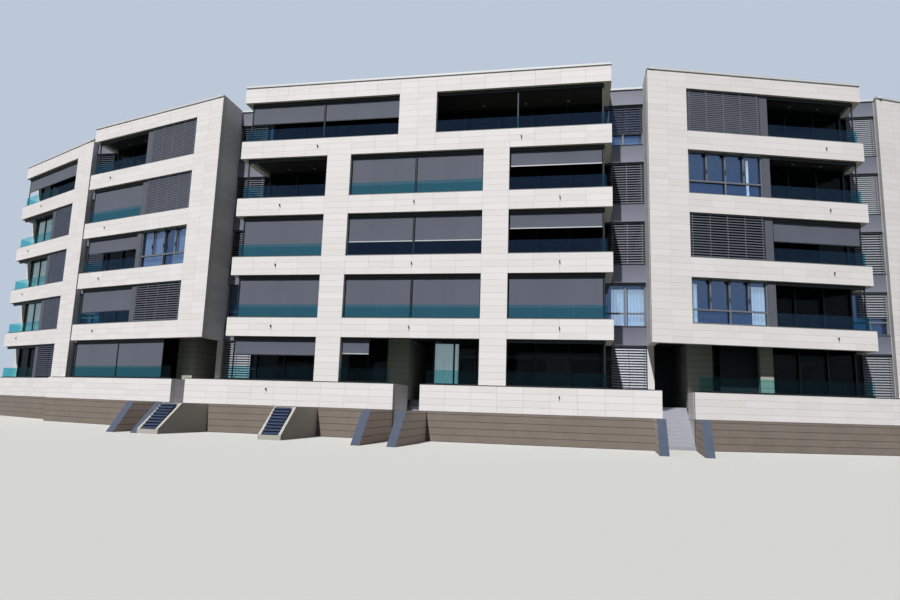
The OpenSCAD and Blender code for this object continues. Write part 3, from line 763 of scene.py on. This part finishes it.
# Slatted blinds
# Crowned aluminium slats on ladder tapes, in front of the fixed windows and the links. They hang
# from a head rail under the band, end in a heavier bottom rail, and are half open or shut.
slat_coats = []
for name, metallic, dark, light in (
    ("slat_metal", 0.45, (96, 99, 109), (109, 112, 122)),
    ("pale_slat_metal", 0.3, (136, 140, 148), (150, 154, 162)),
    ("dark_slat_metal", 0.3, (74, 79, 94), (84, 89, 104)),
):
    slat_coat = Finish(name, {"Metallic": metallic, "Specular IOR Level": 0.4})
    slat_coat.paint(
        Base_Color=slat_coat.tones(1.5, 2.0, dark, light),
        Roughness=slat_coat.noise(60.0, 2.0) * 0.12 + 0.4,
    )
    slat_coats.append(slat_coat)
blind_back = 0.07
rail_h = 0.03
rail_half = 0.02
slat_from = 0.04
slat_depth = 0.048
slat_crown = 0.004
slat_t = 0.0015
bottom_half = 0.008
bottom_low = 0.002
bottom_high = 0.014
tape_pitch = 0.42
tape_margin = 0.05
tape_half = 0.004
tape_front = 0.026
tape_back = 0.0245
tape_foot = 0.01


def slatted_blind(shape, front, start, end, k, share, pitch, tilt, metal, tape_metal):
    """One blind from run to run of a storey, let down by a share of the opening."""
    old = set(shape.faces)
    top = band_low(k + 1)
    low = top - share * (top - band_top(k))
    middle = blind_back - rail_half
    block(shape, front, (start, middle - rail_half, top - rail_h), (end, middle + rail_half, top))
    block(
        shape,
        front,
        (start, middle - bottom_half, low + bottom_low),
        (end, middle + bottom_half, low + bottom_high),
    )
    for i in range(int((top - slat_from - low) / pitch)):
        height = top - slat_from - pitch * (i + 0.5)
        slat = bmesh.ops.create_grid(shape, x_segments=1, y_segments=3, size=0.5)["verts"]
        for vert in slat:
            vert.co.z = slat_crown * (1 - 4 * vert.co.y**2)
        size = Matrix.Diagonal((end - start, slat_depth, 1, 1))
        spot = Matrix.Translation(((start + end) / 2, middle, height))
        turned = front.matrix @ spot @ Matrix.Rotation(tilt, 4, "X") @ size
        bmesh.ops.transform(shape, matrix=turned, verts=slat)
        faces = list({face for vert in slat for face in vert.link_faces})
        for part in (*faces, *slat):
            part.normal_update()
        bmesh.ops.solidify(shape, geom=faces, thickness=slat_t)
    slats = set(shape.faces) - old
    tapes = max(2, round((end - start) / tape_pitch) + 1)
    for tape in range(tapes):
        run = start + tape_margin + (end - start - 2 * tape_margin) * tape / (tapes - 1)
        block(
            shape,
            front,
            (run - tape_half, middle - tape_front, low + tape_foot),
            (run + tape_half, middle - tape_back, top - rail_h),
        )
    for face in set(shape.faces) - old:
        face.material_index = metal if face in slats else tape_metal


# Each setting of the slats: their pitch, their tilt, and the coats of the slats and of the tapes
half_open = (0.062, math.radians(50), 0, 1)
shut = (0.047, math.radians(72), 0, 1)
dark_shut = (0.05, math.radians(74), 2, 2)
dark_open = (0.064, math.radians(48), 2, 2)
pale_open = (0.062, math.radians(54), 1, 2)
pale_shut = (0.052, math.radians(66), 1, 2)
blinds = bmesh.new()
blind_gap = 0.02
side_run = (side_pier + blind_gap, side_bay - fin_w - blind_gap)
end_run = (end_pier + blind_gap, end_bay - fin_w - blind_gap)
for front, k, setting in (
    (left, 1, half_open),
    (left, 3, shut),
    (left, 4, shut),
    (right, 2, half_open),
    (right, 4, shut),
):
    slatted_blind(blinds, front, *side_run, k, 1, *setting)
for front in (far_right, far_left):
    for k in range(storeys - 1):
        setting = dark_shut if k else dark_open
        slatted_blind(blinds, front, *end_run, k, 1, *setting)
inner_blinds = ((0, 1, pale_open), (2, 1, half_open), (3, 1, half_open), (4, 0.68, dark_open))
outer_blinds = [
    (0, 1, pale_open),
    (1, 0.6, pale_open),
    (2, 1, pale_open),
    (3, 1, pale_shut),
    (4, 1, pale_shut),
]
# The left outer link's blinds copy the outer blinds in the dark coat: painted shade.
shaded_blinds = [(k, share, dark_open) for k, share, _ in outer_blinds]
for front, hung in zip(links, (inner_blinds, inner_blinds, outer_blinds, shaded_blinds)):
    link_run = (wall + blind_gap, front.width - blind_gap)
    for k, share, setting in hung:
        slatted_blind(blinds, front, *link_run, k, share, *setting)
piece("slatted_blinds", blinds, slat_coats, ["blinds"])

# Sun screens
# Woven grey cloth on rollers, in head boxes under the bands. Each let-down field is one stretched
# sheet between its side guides, with faint upright creases and a bottom bar.
threads = 420.0
cloth = Finish("woven_screen_cloth", {"Roughness": 0.8, "Sheen Weight": 0.15})
x, y, z = cloth.xyz()
weave = (x * threads).sine() * (z * threads).sine()
creases = cloth.noise(2.2, 2.0, (1, 1, 0.12))
# The colour follows the crease heights, darker in the hollows: painted shade in the creases.
cloth.paint(
    Base_Color=cloth.mix(creases * 0.8 + weave * 0.1, srgb(84, 90, 105), srgb(99, 105, 120))
)
cloth.bump(creases * 0.5 + weave * 0.04, 0.003)
bar_metal = Finish("screen_bar_metal", {"Metallic": 0.2, "Roughness": 0.4})
bar_metal.paint(Base_Color=bar_metal.tones(3.0, 2.0, (196, 198, 202), (214, 215, 218)))
screen_back = 0.105
cloth_t = 0.003
cloth_foot = 0.02
belly_depth = 0.006
crease_depth = 0.0012
crease_rate = 19
bar_low = 0.003
bar_high = 0.024
bar_front = 0.006
bar_back = 0.012
corner_post = 0.19
post_t = 0.03
head_drop = 0.08
small_w = 0.7
terrace_from = 1.45
near_run = (corner_post, centre_near)
middle_run = (centre_near + centre_pier, centre_far)
small_run = (middle_run[0], middle_run[0] + small_w)
far_run = (centre_far + centre_pier, centre.width - corner_post)
top_run = (corner_post, top_near)
terrace_run = (terrace_from, left.width - corner_post)
left_run = (side_bay, left.width - corner_post)
right_run = (side_bay, right.width - corner_post)
far_left_run = (end_pier, far_left.width - corner_post)
# Each with its run, storey, let-down share, fields and the metal of its bottom bar
screen_fields = (
    (centre, near_run, 0, 0.38, 1, 1),
    (centre, small_run, 0, 0.32, 1, 0),
    (centre, near_run, 1, 1, 1, 1),
    (centre, middle_run, 1, 1, 2, 1),
    (centre, far_run, 1, 1, 1, 1),
    (centre, near_run, 2, 1, 1, 1),
    (centre, middle_run, 2, 0.64, 2, 0),
    (centre, far_run, 2, 0.38, 1, 0),
    (centre, middle_run, 3, 1, 2, 1),
    (centre, far_run, 3, 0.38, 1, 0),
    (centre, top_run, 4, 0.5, 2, 1),
    (left, terrace_run, 0, 1, 2, 1),
    (left, left_run, 1, 0.65, 1, 1),
    (left, left_run, 2, 0.42, 1, 1),
    (left, left_run, 3, 1, 1, 1),
    (right, right_run, 2, 0.5, 1, 1),
    (far_left, far_left_run, 4, 0.45, 1, 1),
)
crease_rng = random.Random(7)


def screen_sheet(name, front, start, end, depth, low, top, finish=cloth):
    """One stretched sheet of screen cloth with a slight belly and creases."""
    shape = bmesh.new()
    made = bmesh.ops.create_grid(shape, x_segments=48, y_segments=16, size=0.5)["verts"]
    phase = crease_rng.uniform(0, math.tau)
    for vert in made:
        across, up = vert.co.x + 0.5, vert.co.y + 0.5
        belly = math.sin(math.pi * across) * math.sin(math.pi * up) * belly_depth
        crease = math.sin(across * crease_rate + phase) * crease_depth * math.sin(math.pi * across)
        vert.co = front.spot(
            start + (end - start) * across, depth + belly + crease, low + (top - low) * up
        )
    shape.normal_update()
    bmesh.ops.solidify(shape, geom=shape.faces[:], thickness=cloth_t)
    made = piece(name, shape, [finish], ["screens"])
    size = (end - start) * math.hypot(front.along.x, front.along.y)
    top - low


bars = bmesh.new()
for number, (front, (start, end), k, share, fields, metal) in enumerate(screen_fields):
    step = (end - start) / fields
    top = band_low(k + 1) - head_drop
    low = top - share * (top - band_top(k))
    for i in range(fields):
        low_run, high_run = start + i * step + post_t, start + (i + 1) * step - post_t
        screen_sheet(
            f"screen_{number + 1}_{i + 1}", front, low_run, high_run, screen_back + cloth_t,
            low + cloth_foot, top,
        )
        made = block(
            bars,
            front,
            (low_run, screen_back - bar_front, low + bar_low),
            (high_run, screen_back + bar_back, low + bar_high),
        )
        for face in {face for vert in made for face in vert.link_faces}:
            face.material_index = metal
# The ground-storey screen deep in the right wing's hall is this cloth drawn near-black: painted
# shade.
painted_shade_cloth = Finish("shaded_screen_cloth", {"Roughness": 0.85})
painted_shade_cloth.paint(Base_Color=painted_shade_cloth.tones(2.2, 2.0, (22, 24, 28), (30, 32, 37)))
shaded_run = (1.7, 2.78)
shaded_back = 0.724
shaded_foot = ground_floor + 0.01
screen_sheet(
    "screen_shaded", right, *shaded_run, shaded_back, shaded_foot, ceiling(0), painted_shade_cloth
)

# Screen heads and posts
# Folded aluminium boxes under the bands hide the rollers. Slim posts guide the cloth, and pale or
# dark bars weight its foot.
# A near-black coat. On the head boxes it is painted shade from the band above; the spandrel trims,
# spouts and latches take it as well.
dark_and_painted_shade_coat = Finish("dark_box_coat_and_painted_shade", {"Metallic": 0.2, "Roughness": 0.5})
dark_and_painted_shade_coat.paint(Base_Color=dark_and_painted_shade_coat.tones(2.0, 2.0, (15, 16, 19), (22, 23, 27)))
post_metal = Finish("post_metal", {"Metallic": 0.3, "Roughness": 0.45})
post_metal.paint(Base_Color=post_metal.tones(3.0, 2.0, (34, 36, 41), (44, 46, 52)))
refinish(["screen_heads"], dark_and_painted_shade_coat)
piece("screen_bars", bars, [bar_metal, post_metal])
refinish(["screen_posts"], post_metal)

# Link spandrels
# Satin sheet-metal panels between the windows of the links. Their soft gradient, darker at the top
# of each panel, is a painted reflection of the sky.
spandrel_metal = Finish("spandrel_metal", {"Roughness": 0.45, "Metallic": 0.1})
x, y, z = spandrel_metal.xyz()
level = ((z - garden_top + band_h) % storey_h) / band_h
# The gradient is a painted reflection of the sky.
spandrel_metal.paint(
    Base_Color=spandrel_metal.mix(
        level * 0.8 + spandrel_metal.noise(2.0, 2.0) * 0.2, srgb(128, 132, 146), srgb(100, 103, 117)
    )
)
refinish(["link_spandrels"], spandrel_metal)
trims = bmesh.new()
trim_h = 0.012
drip_front = 0.004
drip_back = 0.03
drip_under = 0.002
sill_nose = 0.012
sill_back = 0.07
for front in links:
    for k in range(1, storeys + 1):
        low, top = band_low(k), band_top(k)
        block(
            trims,
            front,
            (0, -drip_front, low - drip_under),
            (front.width, drip_back, low + trim_h),
        )
        if k < storeys:
            block(trims, front, (0, -sill_nose, top), (front.width, sill_back, top + trim_h))
piece("spandrel_trims", trims, [dark_and_painted_shade_coat])

# Curtains
# White voile in soft folds behind the glass of the rooms that aren't shaded by blinds. Its glow is
# painted light, an emission that stands for the daylight of the room. A darker, bluer copy with a
# weaker glow is painted shade for the curtains that sit in shade.
voile = Finish("white_voile_painted_glow", {"Roughness": 0.9, "Sheen Weight": 0.2, "Emission Strength": 0.65})
shaded_voile = Finish("shaded_voile", {"Roughness": 0.9, "Emission Strength": 0.16})
# The emission of both voiles is painted light; the darker shaded copy is painted shade.
for finish, thin, dense in (
    (voile, srgb(214, 222, 228), srgb(236, 240, 242)),
    (shaded_voile, srgb(176, 186, 206), srgb(204, 210, 226)),
):
    tone = finish.mix(finish.noise(2.5, 2.0, (1, 1, 0.2)), thin, dense)
    finish.paint(Base_Color=tone, Emission_Color=tone)
    finish.bump(finish.noise(260.0, 2.0, (1, 1, 0.05)), 0.0005)
fold_depth = 0.022
fold_pitch = 0.075
flatter_at_top = 0.45
voile_t = 0.002


def curtain(name, front, start, end, depth, low, top, finish=voile):
    """One curtain from run to run, hanging in folds behind the window glass."""
    folds = max(2, round((end - start) / fold_pitch))
    shape = bmesh.new()
    made = bmesh.ops.create_grid(shape, x_segments=folds * 6, y_segments=4, size=0.5)["verts"]
    for vert in made:
        across, up = vert.co.x + 0.5, vert.co.y + 0.5
        swing = math.sin(across * folds * math.tau) * fold_depth * (1 - flatter_at_top * up)
        vert.co = front.spot(
            start + (end - start) * across, depth + swing, low + (top - low) * up
        )
    shape.normal_update()
    bmesh.ops.solidify(shape, geom=shape.faces[:], thickness=voile_t)
    area = sum(face.calc_area() for face in shape.faces) / 2
    made = piece(name, shape, [finish])
    height = top - low
    area / height


frame_t = 0.06
curtain_gap = 0.05
hem = 0.02
pane = wall + frame_t
# Each with its run from and to, storey, height above the sill and drop below the head
window_curtains = (
    ("link_1", right_inner_link, wall + 0.03, 0.54, 1, 0.03, 0.12, voile),
    ("link_2", right_inner_link, 0.57, 0.95, 1, 0.03, 0.12, voile),
    ("link_3", right_inner_link, 0.3, 0.94, 4, 0.02, 0.79, shaded_voile),
    ("right_1", right, side_pier + 0.03, side_pier + 0.16, 1, 0.03, 0.12, voile),
    ("right_2", right, side_bay - fin_w - 0.36, side_bay - fin_w - 0.04, 1, 0.03, 0.12, voile),
    ("right_3", right, side_bay - fin_w - 0.36, side_bay - fin_w - 0.3, 3, 0.03, 0.1, voile),
    ("left_1", left, side_pier + 0.03, side_pier + 0.62, 2, 0.03, 0.05, shaded_voile),
    ("left_2", left, side_pier + 0.95, side_bay - fin_w - 0.04, 2, 0.03, 0.05, shaded_voile),
)
for name, front, start, end, k, above_sill, below_head, finish in window_curtains:
    low, high = band_top(k) + above_sill, band_low(k + 1) - below_head
    curtain("curtain_" + name, front, start, end, pane, low, high, finish)
loggia_depths = {"centre": 1.3, "right": 0.864, "left": 0.864, "far_right": 0.58, "far_left": 0.58}
loggia_pane = loggia_depths["far_left"] + frame_t + curtain_gap
loggia_run = (end_bay + 0.9, far_left.width - wall - 0.1)
for k in (1, 2, 3):
    low, high = floor_top(k) + hem, ceiling(k) - 0.05
    curtain(f"curtain_far_left_{k}", far_left, *loggia_run, loggia_pane, low, high)
hall_run = (centre.width / 2 + 0.33, centre.width / 2 + 0.93)
hall_pane = inner_link_y - front_y + frame_t + curtain_gap
curtain("curtain_ground", centre, *hall_run, hall_pane, floor_top(0) + hem, ceiling(0) - 0.1)

# Downlights
# Round recessed lamps with a bright metal ring, two or three in the ceiling of each balcony.
ring_metal = Finish("lamp_ring_metal", {"Metallic": 0.7, "Roughness": 0.3})
ring_metal.paint(Base_Color=ring_metal.tones(9.0, 2.0, (176, 174, 168), (204, 202, 196)))
lamp_glass = Finish("lamp_glass", {"Roughness": 0.25})
lamp_glass.paint(Base_Color=lamp_glass.tones(20.0, 2.0, (150, 148, 140), (180, 178, 170)))
lamps = bmesh.new()
lamp_r = 0.035
lamp_flare = 1.12
lamp_t = 0.006
glass_r = lamp_r * 0.7
lamp_margin = 0.45
lamp_pitch = 1.4
lamp_depth = 0.85
for name, front in wings.items():
    depth = loggia_depths[name] * lamp_depth
    for k in range(storeys):
        for start, end in bays(name, k):
            count = max(2, round((end - start) / lamp_pitch))
            for i in range(count):
                run = start + lamp_margin + (end - start - 2 * lamp_margin) * (i + 0.5) / count
                spot = Matrix.Translation(front.spot(run, depth, ceiling(k) - lamp_t / 2))
                bmesh.ops.create_cone(
                    lamps, cap_ends=True, segments=20, radius1=lamp_r,
                    radius2=lamp_r * lamp_flare, depth=lamp_t, matrix=spot,
                )
                glass = bmesh.ops.create_cone(
                    lamps, cap_ends=True, segments=16, radius1=glass_r, radius2=glass_r,
                    depth=lamp_t, matrix=Matrix.Translation((0, 0, -lamp_t / 2)) @ spot,
                )["verts"]
                for face in {face for vert in glass for face in vert.link_faces}:
                    face.material_index = 1
piece("downlights", lamps, [ring_metal, lamp_glass])

# Overflow spouts
# A short dark pipe through each band, near the middle of its bay, lets water off the balcony and
# ends in a lip in front of the panels.
spouts = bmesh.new()
spout_r = 0.014
spout_length = 0.05
spout_out = 0.02
spout_drop = 0.19
spout_share = 0.6
lip_half = 0.007
lip_front = 0.047
lip_back = 0.035
lip_h = 0.045
for name, front in wings.items():
    for k in range(storeys):
        for start, end in bays(name, k):
            inner = 0 < start < centre_far + centre_pier
            if k == 0 and (name != "centre" or inner):
                continue
            run = (start + end) / 2 if name == "centre" else start + (end - start) * spout_share
            level = band_top(k) - spout_drop
            middle = Matrix.Translation(front.spot(run, -spout_out, level))
            bmesh.ops.create_cone(
                spouts, cap_ends=True, segments=12, radius1=spout_r, radius2=spout_r,
                depth=spout_length, matrix=middle @ Matrix.Rotation(math.radians(90), 4, "X"),
            )
            block(
                spouts,
                front,
                (run - lip_half, -lip_front, level - lip_h),
                (run + lip_half, -lip_back, level),
            )
piece("overflow_spouts", spouts, [dark_and_painted_shade_coat])

# Window latches
# Dark latches at the heads of the sashes and handles at their middle, in the windows whose blinds
# are up.
latches = bmesh.new()
sashes = 4
sash_face = 0.082
for front, k in ((right, 1), (right, 3), (left, 2)):
    head, sill = band_low(k + 1), band_top(k)
    for i in range(1, sashes):
        run = side_pier + side_window * i / sashes
        # A latch at the head, then a handle at half height
        for half_w, outer, low, high in (
            (0.035, 0.045, head - 0.09, head - 0.03),
            (0.012, 0.062, sill + 0.52, sill + 0.62),
        ):
            block(latches, front, (run - half_w, outer, low), (run + half_w, sash_face, high))
piece("window_latches", latches, [dark_and_painted_shade_coat])

# Plinth and bank walls
# Board-marked concrete in shallow courses below the panels. The walls beside the approaches have
# courses of tan stone on their faces, drawn paler as painted bounce light from the sunlit steps,
# and their sloping tops are blue-grey stone copings.
course_h = 0.15
course_gap = 0.008
bank = Finish("coursed_concrete", {"Roughness": 0.85})
x, y, z = bank.xyz()
course = (z % course_h) < course_gap
bank.paint(
    Base_Color=bank.mix(
        course,
        bank.tones(2.5, 5.0, (118, 108, 101), (140, 130, 122)),
        srgb(62, 56, 52),
    )
)
bank.bump(1 - course, 0.004)
refinish(["plinth_walls"], bank)
coped = Finish("coped_bank_wall", {"Roughness": 0.8})
x, y, z = coped.xyz()
course = (z % course_h) < course_gap
# The pale tan of the wall faces is partly painted bounce light from the sunlit steps.
coped.paint(
    Base_Color=coped.mix(
        coped.normal(2) > 0.3,
        coped.mix(
            course,
            coped.tones(2.5, 5.0, (212, 196, 185), (226, 210, 199)),
            srgb(72, 66, 62),
        ),
        coped.tones(5.0, 5.0, (64, 73, 92), (78, 88, 108)),
    )
)
coped.bump(1 - course, 0.004)
refinish(["approach_walls"], coped)

# Steps and passage floors
# Pale blue-grey granite slabs with a fine flamed face, laid on the steps of the approaches and on
# the floors of the passages.
granite = Finish("pale_granite", {"Roughness": 0.7})
granite.paint(Base_Color=granite.tones(60.0, 5.0, (140, 142, 152), (176, 178, 188)))
granite.bump(granite.noise(150.0, 4.0), 0.001)
refinish(["approach_steps", "passage_floors"], granite)

# Basement vents
# Dark blue louvre blades on a slope, in front of a near-black duct sheet that is painted shade for
# the dark shaft below, and between pale concrete kerbs. The level tops of the kerbs are drawn
# darker than their sides.
kerb = Finish("pale_kerb_concrete", {"Roughness": 0.85})
# The level tops are drawn darker than the sides.
kerb.paint(
    Base_Color=kerb.mix(
        kerb.normal(2) > 0.9,
        kerb.tones(4.0, 5.0, (172, 168, 160), (190, 187, 180)),
        kerb.tones(6.0, 5.0, (84, 80, 73), (104, 100, 92)),
    )
)
kerb.bump(kerb.noise(140.0, 4.0), 0.0008)
refinish(["vent_kerbs"], kerb)
vent_coat = Finish("dark_blue_louvre", {"Metallic": 0.2, "Roughness": 0.45})
vent_coat.paint(Base_Color=vent_coat.tones(3.0, 2.0, (44, 58, 88), (58, 74, 108)))
# A near-black sheet behind the blades: painted shade.
painted_shade_duct = Finish("duct_painted_shade", {"Roughness": 0.8})
painted_shade_duct.paint(Base_Color=painted_shade_duct.tones(3.0, 2.0, (8, 9, 12), (14, 15, 19)))
louvre_low, louvre_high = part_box("vent_louvres")
rise = louvre_high.z - louvre_low.z
vent_middle = 0.19
blade_count = 9
blade_size = Matrix.Diagonal((0.378, 0.066, 0.004, 1))
blade_tilt = Matrix.Rotation(math.radians(30), 4, "X")
blade_lift = 0.012
duct_size = Matrix.Diagonal((0.378, rise * 1.38, 0.004, 1))
duct_tilt = Matrix.Rotation(math.radians(45), 4, "X")
duct_back = 0.028
duct_drop = 0.01
blades = bmesh.new()
# Each vent with the near edge of its head, its reach in front of the wall and its sideways lean
for start, reach, lean in ((-5.315, 1.55, 0.21), (-2.54, 1.85, 0)):
    skew = Matrix.Identity(4)
    skew[0][1] = lean / reach
    skew[0][3] = start
    skew[1][3] = front_y
    for i in range(blade_count):
        climb = (i + 0.5) / blade_count * rise
        spot = Matrix.Translation((vent_middle, climb - reach + blade_lift, louvre_low.z + climb))
        bmesh.ops.create_cube(blades, size=1, matrix=skew @ spot @ blade_tilt @ blade_size)
    middle = (vent_middle, rise / 2 - reach + duct_back, louvre_low.z + rise / 2 - duct_drop)
    placed = skew @ Matrix.Translation(middle) @ duct_tilt @ duct_size
    back = bmesh.ops.create_cube(blades, size=1, matrix=placed)["verts"]
    for face in {face for vert in back for face in vert.link_faces}:
        face.material_index = 1
piece("vent_blades", blades, [vent_coat, painted_shade_duct], ["vent_louvres"])

# Stage
# A pale floor and backdrop, a sun from the front left, and a soft fill that is stronger from
# behind, so that the rear is seen as well.
floor = bmesh.new()
floor_half = 400
bmesh.ops.create_grid(floor, x_segments=1, y_segments=1, size=floor_half)
floor_mesh = bpy.data.meshes.new("stage_floor")
floor.to_mesh(floor_mesh)
floor.free()
floor_object = bpy.data.objects.new("stage_floor", floor_mesh)
bpy.context.scene.collection.objects.link(floor_object)
pale = Finish("pale_floor", {"Roughness": 0.9, "Specular IOR Level": 0.0})
seen = pale.node("ShaderNodeLightPath", output="Is Camera Ray")
pale.paint(Base_Color=pale.mix(seen, srgb(94, 94, 91), srgb(206, 207, 205)))
floor_mesh.materials.append(pale.material)

world = bpy.data.worlds.new("studio")
bpy.context.scene.world = world
world.use_nodes = True
studio = Tree(world.node_tree)
backdrop = studio.nodes["Background"]
studio.put(backdrop, {"Color": srgb(188, 200, 216), "Strength": 1.0})
heading = studio.node("ShaderNodeTexCoord", output="Generated")
behind = studio.node(
    "ShaderNodeMapRange",
    values={
        "Value": studio.node("ShaderNodeSeparateXYZ", values={"Vector": heading}, output="Y"),
        "From Min": 0.3,
        "From Max": 1.0,
        "To Min": 0.1,
        "To Max": 0.55,
    },
)
fill = studio.node(
    "ShaderNodeBackground", values={"Color": srgb(250, 252, 255), "Strength": behind}
)
seen = studio.node("ShaderNodeLightPath", output="Is Camera Ray")
mirrored = studio.node("ShaderNodeLightPath", output="Is Glossy Ray")
shown = seen.maths("MAXIMUM", seen, mirrored)
sky = studio.node(
    "ShaderNodeMixShader",
    values={"Fac": shown, 1: fill, 2: Signal(studio, backdrop.outputs[0])},
)
studio.put(studio.nodes["World Output"], {"Surface": sky})

sun_height, sun_side = math.radians(48), math.radians(12)
sun = bpy.data.lights.new("sun", "SUN")
sun.energy = 3.95
sun.angle = math.radians(1.0)
sun.color = (1, 0.985, 0.96)
sun_object = bpy.data.objects.new("sun", sun)
bpy.context.scene.collection.objects.link(sun_object)
towards = Vector(
    (
        math.sin(sun_side) * math.cos(sun_height),
        math.cos(sun_side) * math.cos(sun_height),
        -math.sin(sun_height),
    )
)
sun_object.rotation_euler = towards.to_track_quat("-Z", "Y").to_euler()

# Camera
# The photograph's viewpoint: eye height on the lawn in front of the centre wing's right end.
eye = Vector((3.75, front_y - 14.338, 0.836))
yaw, pitch, roll = math.radians(11.08), math.radians(9.11), math.radians(1.78)
ahead = Vector((-math.sin(yaw) * math.cos(pitch), math.cos(yaw) * math.cos(pitch), math.sin(pitch)))
level_right = Vector((math.cos(yaw), math.sin(yaw), 0))
level_up = level_right.cross(ahead)
camera_right = level_right * math.cos(roll) + level_up * math.sin(roll)
camera_up = level_up * math.cos(roll) - level_right * math.sin(roll)
camera = bpy.data.cameras.new("camera")
camera.lens = 25.88
camera.sensor_width = 36.0
camera.clip_end = 1000
camera_object = bpy.data.objects.new("camera", camera)
bpy.context.scene.collection.objects.link(camera_object)
camera_object.matrix_world = Matrix.Translation(eye) @ Matrix(
    (camera_right, camera_up, -ahead)
).transposed().to_4x4()
bpy.context.scene.camera = camera_object
bpy.context.scene.view_settings.view_transform = "Standard"
